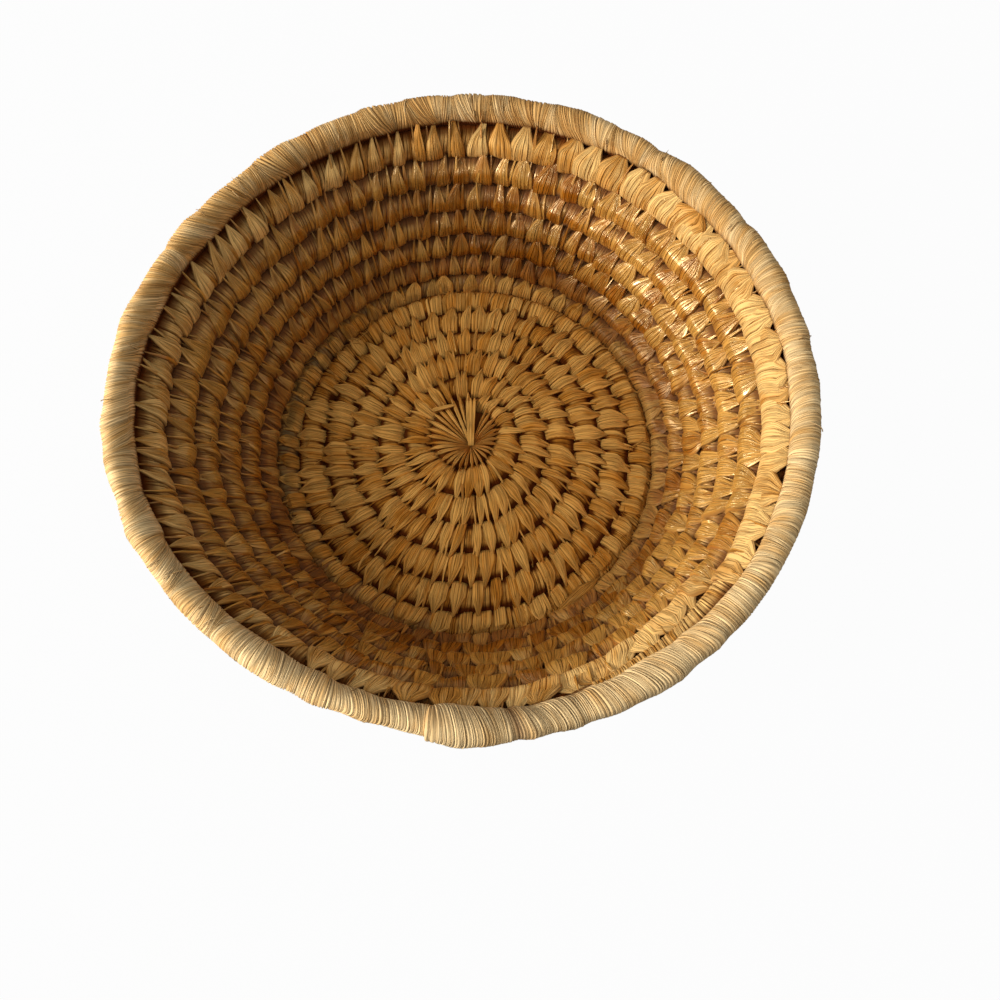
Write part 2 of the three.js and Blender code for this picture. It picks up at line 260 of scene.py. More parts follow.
    def sections(self, turn: Array, tail: bool = False) -> Sections:
        """Cross-sections between the seam half a row under each turn and the one over it.

        Args:
            turn: turns, any shape.
            tail: True for the rim's end, whose upper seam comes down on the row below, while its
                binding takes in that row.

        Returns:
            The sections, with arrays of the same shape as turn.
        """
        under_level, over_level = turn - 0.5, turn + 0.5
        if tail:
            start = np.asarray(self.climb_start)
            climb = self.climbed(start) - self.climbed(turn)
            over_level = start + 0.5 - (1 - self.rim_rise) * climb
            under_level = under_level - smooth((turn - start) / self.taking_in)
        under, over = self.seam(under_level, turn), self.seam(over_level, turn)
        chord = over - under
        room = np.linalg.norm(chord, axis=-1)
        across = chord / room[..., None]
        along = np.stack([np.cos(turn * TURN), -np.sin(turn * TURN), 0 * turn], axis=-1)
        out = np.cross(along, across)
        out /= np.linalg.norm(out, axis=-1)[..., None]
        grown = np.clip((turn - self.start_turn) / (self.full_width_turn - self.start_turn), 0, 1)
        first = self.start_width / self.pitch()
        half = room * (first + (1 - first) * grown) / 2
        thick = np.where(turn < self.lap_turn, self.coil_thickness, self.rim_thickness) / 2
        return Sections(over - across * half[..., None], across, out, half, thick)

    def skin(
        self, turn: Array, angle: Array, lift: Values, tail: bool = False
    ) -> Array:
        """Points on the coil's skin, set on the section and grown by the lift.

        The skin is an ellipse, drawn in beside the seams, where the rows leave a wide groove
        between them. The rim's top has no seam.

        Args:
            turn: place along the coil.
            angle: place round it: 0 at the seam below, a quarter turn on the bowl's inside.
            lift: distance off the skin, in metres.
            tail: True for the rim's end.

        Returns:
            Points, with one more axis than the broadcast arguments.
        """
        turn, angle, lift = np.broadcast_arrays(turn, angle, lift)
        s = self.sections(turn, tail)
        at_seam = (turn < self.lap_turn) | (np.cos(angle) > 0)
        sharp = np.where(at_seam, self.seam_sharpness, 1.0)
        wide = (s.half_width + lift) * -np.sign(np.cos(angle)) * np.abs(np.cos(angle)) ** sharp
        deep = (s.half_thickness + lift) * np.sin(angle)
        return s.middle + s.across * wide[..., None] + s.out * deep[..., None]

    def turns_at(self, distances: Array, start: float) -> Array:
        """Turns at given distances along the coil's middle, read from a fine table of its length.

        Args:
            distances: distances in metres, any shape.
            start: turn from which they are measured.

        Returns:
            The turns.
        """
        turn = np.linspace(start, self.lap_turn + self.map_end, self.map_steps)
        middle = self.sections(turn).middle
        steps = np.linalg.norm(np.diff(middle, axis=0), axis=1)
        return np.interp(distances, np.concatenate([[0], np.cumsum(steps)]), turn)

    def length_between(self, start: float, end: float) -> float:
        """Length of the coil's middle between two turns."""
        middle = self.sections(np.linspace(start, end, self.length_steps)).middle
        return float(np.linalg.norm(np.diff(middle, axis=0), axis=1).sum())


PATH = CoilPath()


class Shade(Enum):
    """Material slots of the part: the bleached rim, the wall and the base."""

    RIM = "palm_rim"
    WALL = "palm_wall"
    BASE = "palm_base"


@dataclass(frozen=True)
class NodeTree:
    """Short ways to add the shader nodes that the leaves use."""

    tree: bpy.types.ShaderNodeTree

    def link(self, source: Socket, target: Socket) -> None:
        """Joins an output to an input."""
        self.tree.links.new(source, target)

    def feed(self, socket: Socket, value: Feed) -> None:
        """Sets an input.

        Args:
            socket: the input.
            value: what it is joined to or set to; None leaves it as it is.
        """
        if isinstance(value, Socket):
            self.link(value, socket)
        elif isinstance(value, tuple):
            socket.default_value = (*value, 1)
        elif value is not None:
            socket.default_value = value

    def attribute(self, name: str) -> Socket:
        """Reads a mesh attribute.

        Args:
            name: its name.

        Returns:
            Its value.
        """
        node = self.tree.nodes.new("ShaderNodeAttribute")
        node.attribute_name = name
        return node.outputs["Fac"]

    def math(
        self, operation: str, a: Feed, b: Feed = None, c: Feed = None, clamp: bool = False
    ) -> Socket:
        """One sum of numbers or sockets.

        Args:
            operation: what is done with them.
            a: the first.
            b: the second.
            c: the third.
            clamp: True to hold the result between 0 and 1.

        Returns:
            The result.
        """
        node = self.tree.nodes.new("ShaderNodeMath")
        node.operation = operation
        node.use_clamp = clamp
        for socket, value in zip(node.inputs, (a, b, c)):
            self.feed(socket, value)
        return node.outputs[0]

    def mix(self, blend: str, factor: Feed, a: Feed, b: Feed) -> Socket:
        """Two colours mixed.

        Args:
            blend: how they are mixed.
            factor: share of the mixed colour.
            a: the first colour.
            b: the second.

        Returns:
            The colour.
        """
        node = self.tree.nodes.new("ShaderNodeMix")
        node.data_type = "RGBA"
        node.blend_type = blend
        for index, value in ((0, factor), (6, a), (7, b)):
            self.feed(node.inputs[index], value)
        return node.outputs[2]

    def ramp(self, factor: Socket, stops: tuple) -> Socket:
        """A colour ramp.

        Args:
            factor: place on the ramp.
            stops: pairs of a place and a colour.

        Returns:
            The colour.
        """
        node = self.tree.nodes.new("ShaderNodeValToRGB")
        elements = node.color_ramp.elements
        elements[0].position, elements[1].position = stops[0][0], stops[-1][0]
        for place, _ in stops[1:-1]:
            elements.new(place)
        for element, (_, colour) in zip(elements, stops):
            element.color = (*colour, 1)
        self.link(factor, node.inputs[0])
        return node.outputs["Color"]

    def fibre_noise(self, across: float, along: float, detail: float, offset: float) -> Socket:
        """Noise on the fibre map, stretched along the fibres.

        Args:
            across: size of its grains across the fibres, in metres.
            along: size along them.
            detail: octaves of the noise.
            offset: moves the noise, so that no two are alike.

        Returns:
            Values round 0.5.
        """
        uv = self.tree.nodes.new("ShaderNodeUVMap")
        uv.uv_map = FIBRE_MAP
        stretch = self.tree.nodes.new("ShaderNodeMapping")
        stretch.inputs["Scale"].default_value = (1 / across, 1 / along, 1)
        stretch.inputs["Location"].default_value = (offset, offset / 2, 0)
        texture = self.tree.nodes.new("ShaderNodeTexNoise")
        texture.inputs["Scale"].default_value = 1
        texture.inputs["Detail"].default_value = detail
        self.link(uv.outputs[0], stretch.inputs[0])
        self.link(stretch.outputs[0], texture.inputs["Vector"])
        return texture.outputs["Fac"]


@dataclass(frozen=True)
class Leaf:
    """Dry palm leaf: striped along its fibres, satin, with fine ribs and dark creases."""

    name: str
    slot: Shade
    dark: Colour
    middle: Colour
    light: Colour
    # Painted shade: a dark red-brown mixed into gaps, creases, edges and undersides, where shade
    # falls.
    shade_colour: Colour = (0.105, 0.020, 0.001)
    mildew: Colour = (0.062, 0.042, 0.013)
    roughness: Pair = (0.42, 0.66)
    dull_roughness: float = 0.35
    specular: float = 0.3
    index: float = 1.5
    sheen_colour: Colour = (1.0, 0.78, 0.42)
    coat: float = 0.0
    coat_roughness: float = 0.30
    ramp_places: Triple = (0.2, 0.52, 0.9)
    shade_offset: float = -0.2
    tone_share: float = 0.5
    streak_share: float = 0.75
    blotch_share: float = 0.45
    patch_contrast: float = 4.0
    patch_offset: float = -1.45
    crease_spacing: float = 0.0009
    crease_length: float = 0.025
    crease_sharpness: float = 13.0
    crease_dark: float = 0.42
    streak_length: float = 0.014
    blotch_size: float = 0.012
    bump_strength: float = 0.85
    rib_height: float = 0.00028
    streak_height: float = 0.8

    def material(self) -> bpy.types.Material:
        """Builds the node material on the piece's UV map, whose first axis runs across the
        fibres and whose second runs along them.

        Creases are thin lines along the fibres, where a stretched noise passes its middle value,
        streaks are three times as wide, and blotches are as wide as they are long.

        Returns:
            The material.
        """
        made = bpy.data.materials.new(self.name)
        made.use_nodes = True
        tree = NodeTree(made.node_tree)
        shader = made.node_tree.nodes["Principled BSDF"]
        shader.inputs["Specular Tint"].default_value = (*self.sheen_colour, 1)
        for label, value in (
            ("Specular IOR Level", self.specular), ("IOR", self.index),
            ("Coat Weight", self.coat), ("Coat Roughness", self.coat_roughness),
        ):
            shader.inputs[label].default_value = value

        spacing = self.crease_spacing
        creases = tree.fibre_noise(spacing, self.crease_length, detail=1.5, offset=3.1)
        streaks = tree.fibre_noise(3 * spacing, self.streak_length, detail=2, offset=17.7)
        blotches = tree.fibre_noise(self.blotch_size, self.blotch_size, detail=2, offset=41.3)
        off_line = tree.math("ABSOLUTE", tree.math("SUBTRACT", creases, 0.5))
        clear = tree.math("MULTIPLY", off_line, self.crease_sharpness, clamp=True)
        tree.link(self.colour(tree, streaks, blotches, clear), shader.inputs["Base Color"])

        smoothest, roughest = self.roughness
        rough = tree.math("MULTIPLY_ADD", streaks, roughest - smoothest, smoothest)
        rough = tree.math("MULTIPLY_ADD", tree.attribute("dull"), self.dull_roughness, rough)
        rough = tree.math("ADD", rough, tree.attribute("painted_shade"), clamp=True)
        tree.link(rough, shader.inputs["Roughness"])

        bump = made.node_tree.nodes.new("ShaderNodeBump")
        bump.inputs["Strength"].default_value = self.bump_strength
        bump.inputs["Distance"].default_value = self.rib_height
        ribs = tree.math("MULTIPLY_ADD", streaks, self.streak_height, clear)
        tree.link(ribs, bump.inputs["Height"])
        tree.link(bump.outputs[0], shader.inputs["Normal"])
        return made

    def colour(self, tree: NodeTree, streaks: Socket, blotches: Socket, clear: Socket) -> Socket:
        """The colour: a ramp from dark to light, read by the strip's own tone plus shares of the
        streaks and the blotches, and darkened along the creases. The attribute "stain" mixes in
        the mildew where a blotch is strong, and "painted_shade" the painted shade of gaps and
        creases.

        Args:
            tree: takes the nodes.
            streaks: noise stretched along the fibres.
            blotches: broad noise.
            clear: 0 on a crease, 1 away from it.

        Returns:
            The colour.
        """
        shade = tree.math("MULTIPLY_ADD", streaks, self.streak_share, self.shade_offset)
        shade = tree.math("MULTIPLY_ADD", tree.attribute("tone"), self.tone_share, shade)
        shade = tree.math("MULTIPLY_ADD", blotches, self.blotch_share, shade)
        stops = tuple(zip(self.ramp_places, (self.dark, self.middle, self.light)))
        lines = tree.math("MULTIPLY_ADD", clear, self.crease_dark, 1 - self.crease_dark)
        colour = tree.mix("MULTIPLY", 1.0, tree.ramp(shade, stops), lines)
        contrast, offset = self.patch_contrast, self.patch_offset
        patches = tree.math("MULTIPLY_ADD", blotches, contrast, offset, clamp=True)
        stained = tree.math("MULTIPLY", tree.attribute("stain"), patches)
        colour = tree.mix("MIX", stained, colour, self.mildew)
        # Painted shade: gaps, creases, edges and undersides are mixed towards the dark shade
        # colour.
        return tree.mix("MIX", tree.attribute("painted_shade"), colour, self.shade_colour)


BASE_LEAF = Leaf(
    "base_leaf", Shade.BASE,
    dark=(0.26, 0.076, 0.003), middle=(0.61, 0.240, 0.028), light=(0.84, 0.45, 0.110),
    roughness=(0.40, 0.64),
)
WALL_LEAF = Leaf(
    "wall_leaf", Shade.WALL,
    dark=(0.15, 0.031, 0.001), middle=(0.375, 0.115, 0.004), light=(0.63, 0.32, 0.064),
    roughness=(0.24, 0.38), specular=1.0, index=1.7, coat=0.1,
)
FAN_LEAF = Leaf(
    "fan_leaf", Shade.WALL,
    dark=(0.28, 0.100, 0.010), middle=(0.56, 0.25, 0.045), light=(0.86, 0.54, 0.19),
    roughness=(0.42, 0.62),
)
RIM_LEAF = Leaf(
    "rim_leaf", Shade.RIM,
    dark=(0.44, 0.190, 0.040), middle=(0.71, 0.405, 0.135), light=(0.90, 0.65, 0.33),
    roughness=(0.42, 0.65),
)


@cache
def leaf_material(leaf: Leaf) -> bpy.types.Material:
    """The leaf's material, made the first time that it is asked for."""
    return leaf.material()


@dataclass(frozen=True)
class Sides:
    """Sides of the bowl on which its leaf or its painted light and shade differ, as angles
    clockwise from +Y.
    """

    mildewed: float = math.radians(-75)
    # Side where the painted shade on the wall's lowest rows is weakest.
    clean: float = math.radians(-20)
    tanned: float = math.radians(-25)
    full: float = math.radians(95)
    full_contrast: float = 0.7

    def fullness(self, azimuth: Array) -> Array:
        """Share from 1 on the side where the stitches are fuller to 0 on the side opposite."""
        return smooth(0.5 + self.full_contrast * np.cos(azimuth - self.full))

    def painted_light_and_shade(self, azimuth: Array) -> Array:
        """Painted light and shade: 1, paler, on that side and the side opposite, and -1, darker, on
        the two between.
        """
        return np.cos(2 * (azimuth - self.full))


SIDES = Sides()


@dataclass(frozen=True)
class WearAndShade:
    """What damp and hands have left on the leaf, and painted shade, as values from 0 to 1 on a
    mesh's points.
    """

    mildew_height: float = 0.011
    mildew_past_base: float = 0.002
    mildew_core: float = 0.002
    mildew_fade: float = 0.007
    mildew_least: float = 0.2
    # Painted shade: the wall's lowest rows are darkened where shade falls on them.
    low_rows_shade: float = 0.4
    low_rows_shade_from: float = 0.014
    low_rows_shade_rise: float = 0.005
    low_rows_shade_to: float = 0.044
    low_rows_shade_fall: float = 0.014
    low_rows_shade_spared: float = 0.8
    gloss_from: float = 0.018
    gloss_rise: float = 0.018

    def mildew(self, points: Array) -> Array:
        """Mildew: a band round the corner of the base that fades over a short distance from a
        circle, and grows with the squared cosine of the angle from its worst side.

        Args:
            points: n by 3.

        Returns:
            n values.
        """
        moved = 1 - PATH.levelled_from_row / PATH.centred_at_row
        x = points[:, 0] - PATH.start_centre[0] * moved
        y = points[:, 1] - PATH.start_centre[1] * moved
        off = np.hypot(x, y) - PATH.base_flat_radius - self.mildew_past_base
        off = np.hypot(off, points[:, 2] - self.mildew_height)
        worst = np.maximum(0, np.cos(np.arctan2(x, y) - SIDES.mildewed)) ** 2
        strength = self.mildew_least + (1 - self.mildew_least) * worst
        return strength * (1 - smooth((off - self.mildew_core) / self.mildew_fade))

    def painted_low_rows_shade(self, points: Array) -> Array:
        """Painted shade: tone lost on the wall's lowest rows, and less of it on the least shaded
        side.

        Args:
            points: n by 3.

        Returns:
            n values.
        """
        height = points[:, 2]
        rows = smooth((height - self.low_rows_shade_from) / self.low_rows_shade_rise)
        rows *= smooth((self.low_rows_shade_to - height) / self.low_rows_shade_fall)
        towards_least_shaded = np.cos(np.arctan2(points[:, 0], points[:, 1]) - SIDES.clean)
        rows *= 1 - self.low_rows_shade_spared * np.maximum(0, towards_least_shaded) ** 2
        return self.low_rows_shade * rows

    def dullness(self, points: Array) -> Array:
        """Lost gloss: all of it at the wall's foot, and none above its lowest rows."""
        return 1 - smooth((points[:, 2] - self.gloss_from) / self.gloss_rise)


WEAR_AND_SHADE = WearAndShade()


@dataclass
class MeshParts:
    """Vertices, faces and per-vertex values of a mesh in the making."""

    points: list[Array] = field(default_factory=list)
    faces: list[Array] = field(default_factory=list)
    uv: list[Array] = field(default_factory=list)
    tone: list[Array] = field(default_factory=list)
    # Painted shade of each point: 1 where a gap, crease, edge or underside is painted dark.
    painted_shade: list[Array] = field(default_factory=list)
    count: int = 0

    def add(
        self, points: Array, faces: list[Array], uv: Array, tone: Values,
        painted_shade: Values,
    ) -> None:
        """Adds points and the faces between them.

        Near the ground the heights are squeezed, by an exponential with the same slope where it
        starts, so that nothing goes through the ground and no two layers lie in one plane.

        Args:
            points: any number of axes, with the last of 3.
            faces: arrays of faces, each m by its number of corners, counted from the first point.
            uv: as points, with the last axis of 2.
            tone: one value a point, or fit to be spread over them: 0 dark to 1 pale.
            painted_shade: the same: painted shade, 1 where the leaf lies deep in a gap.
        """
        shape = points.shape[:-1]
        low = points[..., 2] < GROUND_SOFTNESS
        points[low, 2] = GROUND_SOFTNESS * np.exp(points[low, 2] / GROUND_SOFTNESS - 1)
        self.points.append(points.reshape(-1, 3))
        self.uv.append(np.broadcast_to(uv, (*shape, 2)).reshape(-1, 2))
        self.tone.append(np.broadcast_to(tone, shape).ravel())
        self.painted_shade.append(np.broadcast_to(painted_shade, shape).ravel())
        self.faces.extend(f + self.count for f in faces)
        self.count += self.points[-1].shape[0]

    def mesh(self, name: str) -> bpy.types.Mesh:
        """The mesh, with its UV map, its attributes and smooth faces.

        Args:
            name: its name.

        Returns:
            The mesh.
        """
        points = np.concatenate(self.points)
        corners = np.concatenate([f.ravel() for f in self.faces])
        sizes = np.concatenate([np.full(len(f), f.shape[1]) for f in self.faces])
        mesh = bpy.data.meshes.new(name)
        mesh.vertices.add(len(points))
        mesh.vertices.foreach_set("co", points.astype(np.float32).ravel())
        mesh.loops.add(len(corners))
        mesh.loops.foreach_set("vertex_index", corners.astype(np.int32))
        mesh.polygons.add(len(sizes))
        starts = np.concatenate([[0], np.cumsum(sizes)[:-1]])
        mesh.polygons.foreach_set("loop_start", starts.astype(np.int32))
        mesh.polygons.foreach_set("use_smooth", np.ones(len(sizes), bool))
        mesh.update(calc_edges=True)
        layer = mesh.uv_layers.new(name=FIBRE_MAP)
        layer.data.foreach_set("uv", np.concatenate(self.uv)[corners].astype(np.float32).ravel())
        values = {
            # Painted shade: the wall's lowest rows lose tone.
            "tone": np.concatenate(self.tone) - WEAR_AND_SHADE.painted_low_rows_shade(points),
            # Painted shade: 1 where a gap, crease, edge or underside is painted dark.
            "painted_shade": np.concatenate(self.painted_shade),
            "stain": WEAR_AND_SHADE.mildew(points),
            "dull": WEAR_AND_SHADE.dullness(points),
        }
        for label, value in values.items():
            attribute = mesh.attributes.new(label, "FLOAT", "POINT")
            attribute.data.foreach_set("value", value.astype(np.float32))
        mesh.validate()
        LOG.info("%s: %d triangles", name, int((sizes - 2).sum()))
        return mesh

    def build(
        self, name: str, leaf: Leaf, replaced: tuple[str, ...] = (), sharp: float = CREASE_ANGLE
    ) -> bpy.types.Object:
        """Makes the object, with its leaf, riding on the body.

        Args:
            name: name of the piece.
            leaf: its finish.
            replaced: CAD nodes that it stands for.
            sharp: angle between faces from which their edge is a sharp one.

        Returns:
            The object.
        """
        mesh = self.mesh(name)
        mesh.set_sharp_from_angle(angle=sharp)
        mesh.materials.append(leaf_material(leaf))
        made = bpy.data.objects.new(name, mesh)
        bpy.context.scene.collection.objects.link(made)
        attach(made, "root")
        if replaced:
            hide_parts(*replaced)
        return made


def tube_faces(rings: int, around: int) -> list[Array]:
    """Faces of a closed tube: quads between rings, and one polygon at each end.

    Args:
        rings: number of rings.
        around: number of points in a ring.

    Returns:
        The quads and the two ends, by the places of their points.
    """
    ring = np.arange(rings - 1)[:, None] * around
    a = ring + np.arange(around)
    b = ring + np.roll(np.arange(around), -1)
    quads = np.stack([a, b, b + around, a + around], axis=-1).reshape(-1, 4)
    first = np.arange(around)[::-1][None]
    last = (rings - 1) * around + np.arange(around)[None]
    return [quads, first, last]


def strip_faces(strips: int, along: int, around: int) -> list[Array]:
    """Faces of many closed strips, each a tube of its own with the same counts.

    Args:
        strips: number of strips.
        along: number of rings of each.
        around: number of points in a ring.

    Returns:
        The same as for a tube.
    """
    one = tube_faces(along, around)
    shift = np.arange(strips)[:, None, None] * along * around
    return [(f[None] + shift).reshape(-1, f.shape[1]) for f in one]


@dataclass(frozen=True)
class Wrapping:
    """The binding's close wraps round one length of the coil.

    A spread is the range of a random share, a cell the distance over which a random value
    changes, and a reach the length of the coil that a form takes up.
    """

    name: str
    start: float
    end: float
    leaf: Leaf
    replaced: tuple[str, ...] = ()
    wrap_width: float = 0.0018
    width_spread: Pair = (0.4, 1.6)
    ring_shares: Triple = (0.0, 0.25, 0.75)
    ring_heights: Triple = (-1.0, 0.3, 0.1)
    around: int = 18
    lean: float = 0.0008
    lean_drift: float = 1.6
    lean_cell: float = 0.011
    level_reach: float = 0.006
    groove: float = 0.0006
    groove_spread: Pair = (0.4, 1.3)
    deeper: float = 1.2
    deeper_share: float = 0.16
    swell: float = 0.0004
    swell_cells: Pair = (0.009, 0.023)
    lip: float = 0.0
    lip_reach: float = 0.007
    rounded: float = 0.0
    rounded_reach: float = 0.004
    bulge: Triple = (0.0, 0.0, 1.0)
    nick: Pair = (0.0, 0.0)
    nick_width: float = 0.0024
    # Painted shade in the nick.
    nick_shade: float = 0.6
    slim: float = 0.0
    slim_inside: float = 0.5
    free_top: bool = False
    seam_overlap: float = 0.00035
    seam_narrowness: int = 8
    # Painted shade: the skin beside the seams and in the wraps' grooves is painted dark, where
    # shade falls.
    seam_shade: Pair = (0.62, 0.22)
    seam_paler_outside: float = 0.16
    gap_shade: Pair = (1.0, 1.0)
    crease_dark: float = 0.75
    paleness: float = 0.6
    tone_drift: float = 0.25
    tone_cell: float = 0.006
    stripe: float = 0.4
    tanned: float = 0.0
    # Painted light and shade: paler on the bowl's right and left, darker on its far and near sides.
    side_light_and_shade: float = 0.0
    tail: bool = False
    seed: int = 1

    def rings(self, rng: Rng, length: float) -> tuple[Array, Array]:
        """Places of the rings: three for each wrap, and one at the end.

        Args:
            rng: gives each wrap its width and how deep its groove is.
            length: length of the coil that is wrapped.

        Returns:
            The places along the coil, and each wrap's share of how deep the groove usually is.
        """
        count = max(4, round(length / self.wrap_width))
        widths = rng.uniform(*self.width_spread, count)
        edges = np.concatenate([[0], np.cumsum(widths)]) * length / widths.sum()
        places = edges[:-1, None] + np.array(self.ring_shares) * np.diff(edges)[:, None]
        own = rng.uniform(*self.groove_spread, (count, 1))
        own += self.deeper * (rng.uniform(0, 1, (count, 1)) < self.deeper_share)
        return np.append(places.ravel(), length), own

    def relief(self, rng: Rng, places: Array, own: Array) -> tuple[Array, Array]:
        """Height of each ring over the coil's skin, and the painted shade that it gets as a crease.

        A wrap's first ring lies down in the groove and the two others are the shoulders of its
        back. The coil swells and thins a little over a few wraps. A lip stands at the start
        where one strip begins over another's end, the tail has a bulge where it takes in the row
        below, and a nick parts two lots of wraps.

        Args:
            rng: makes the swelling.
            places: places of the rings.
            own: shares of how deep the groove is.

        Returns:
            Heights and painted shade.
        """
        profile = np.array(self.ring_heights)
        height = np.append((profile * self.groove * own).ravel(), -self.groove)
        short, long = self.swell_cells
        height += self.swell * drift(rng, places, short) + self.swell * drift(rng, places, long)
        height += self.lip * (1 - smooth(places / self.lip_reach))
        rise, centre, reach = self.bulge
        height += rise * (1 - smooth(np.abs(places - centre) / reach))
        height -= self.rounded * (1 - smooth(places / self.rounded_reach))
        # Painted shade in the grooves between wraps and in the nick.
        creases = np.append((np.clip(-profile, 0, 1) * own).ravel(), 1.0) * self.crease_dark
        nick_at, nick_depth = self.nick
        nick = np.exp(-(((places - nick_at) / self.nick_width) ** 2))
        height -= nick_depth * nick
        nick_shade = self.nick_shade * nick * (nick_depth > 0)
        return height, np.maximum(np.minimum(creases, 1.0), nick_shade)

    def tones(self, rng: Rng, places: Array, count: int) -> Array:
        """Tone of each ring: its wrap's own, a slow drift, a tan by side, and painted light and
        shade by side.

        Args:
            rng: gives each wrap its tone and makes the drift.
            places: places of the rings.
            count: number of wraps.

        Returns:
            The tones.
        """
        strips = np.repeat(rng.uniform(0, 1, count), len(self.ring_shares))
        tone = self.paleness + self.tone_drift * drift(rng, places, self.tone_cell)
        tone += self.stripe * (np.append(strips, 0.5) - 0.5)
        azimuth = PATH.turns_at(places, self.start) * TURN
        tone -= self.tanned * np.cos(azimuth - SIDES.tanned)
        # Painted light and shade by side of the bowl.
        return tone + self.side_light_and_shade * SIDES.painted_light_and_shade(azimuth)

    def build(self) -> bpy.types.Object:
        """A tube of rings on the coil's skin, raised by the wraps' relief.

        All rings lean along the coil as they go round it, but not at its ends. At a seam the
        skin stands out, so that rows touch; the rim's top is free of that.

        Returns:
            The object.
        """
        rng = np.random.default_rng(self.seed)
        length = PATH.length_between(self.start, self.end)
        places, own = self.rings(rng, length)
        height, creases = self.relief(rng, places, own)
        tone = self.tones(rng, places, len(own))

        angle = np.arange(self.around) / self.around * TURN
        lean = self.lean * (1 + self.lean_drift * drift(rng, places, self.lean_cell))
        lean *= smooth(np.minimum(places, length - places) / self.level_reach)
        place = np.clip(places[:, None] - lean[:, None] * np.cos(angle), 0, length)
        turn = PATH.turns_at(place, self.start)
        towards_seam = np.maximum(np.cos(angle), 0) if self.free_top else np.cos(angle)
        at_seam = towards_seam**self.seam_narrowness
        lift = height[:, None] * (1 - at_seam) + self.seam_overlap * at_seam
        lift -= self.slim * (1 - self.slim_inside * np.sin(angle)) * (1 - at_seam)
        points = PATH.skin(turn, angle, lift, self.tail)

        girth = angle[None] * (PATH.coil_thickness / 2)
        uv = np.stack([places[:, None] + 0 * girth, 0 * place + girth], axis=-1)
        # Painted shade beside each seam, above and below, and in the wraps' grooves.
        dark_from, dark_span = self.seam_shade
        dark_from = dark_from + self.seam_paler_outside * (np.sin(angle) < 0)
        down = smooth((np.abs(np.cos(angle)) - dark_from) / dark_span)
        gap = down * np.where(np.cos(angle) > 0, self.gap_shade[0], self.gap_shade[1])
        painted_shade = np.maximum(gap, creases[:, None])
        parts = MeshParts()
        parts.add(points, tube_faces(len(places), self.around), uv, tone[:, None], painted_shade)
        return parts.build(self.name, self.leaf, self.replaced, sharp=math.pi)


@dataclass(frozen=True)
class StripProfile:
    """Cross-section of a flat strip with sharp edges and creases along it.

    Places run across the strip from -1 to 1, and heights are shares of its thickness. The two
    last points lie under the strip, inside what it rests on.
    """

    creases: tuple[float, ...] = (-0.42, 0.02, 0.44)
    crease_spread: float = 0.14
    half_crease: float = 0.035
    crease_depth: float = 0.55
    # Painted shade in the creases, at the edges and under the strip, where shade falls.
    crease_dark: float = 0.5
    edge: float = 0.08
    edge_height: float = 0.95
    edge_shade: float = 0.7
    arch: float = 0.45
    under_half: float = 0.9
    under_shade: float = 0.8

    def grid(self, rng: Rng, count: int) -> tuple[Array, Array, Array]:
        """Places across, shares of the thickness, and painted shade, for a number of strips.

        Args:
            rng: moves the creases from strip to strip.
            count: number of strips.

        Returns:
            Three arrays, count by the number of points round a strip.
        """
        # The third value of each stop is its painted shade.
        stops = [(-1.0, 0.0, self.edge_shade), (self.edge - 1, self.edge_height, 0.0)]
        for crease in self.creases:
            middle = crease + rng.uniform(-self.crease_spread, self.crease_spread, count)
            stops.append((middle - self.half_crease, 1.0, 0.0))
            stops.append((middle, 1 - self.crease_depth, self.crease_dark))
            stops.append((middle + self.half_crease, 1.0, 0.0))
        stops += [(1 - self.edge, self.edge_height, 0.0), (1.0, 0.0, self.edge_shade)]
        stops += [(side * self.under_half, -1.0, self.under_shade) for side in (1, -1)]
        places, shares, dark = zip(*stops)
        rows = np.stack([np.broadcast_to(place, count) for place in places], axis=1)
        shares = np.array(shares)
        shares = shares + self.arch * (1 - rows**2) * (shares > 0)
        return rows, shares, np.broadcast_to(dark, rows.shape)


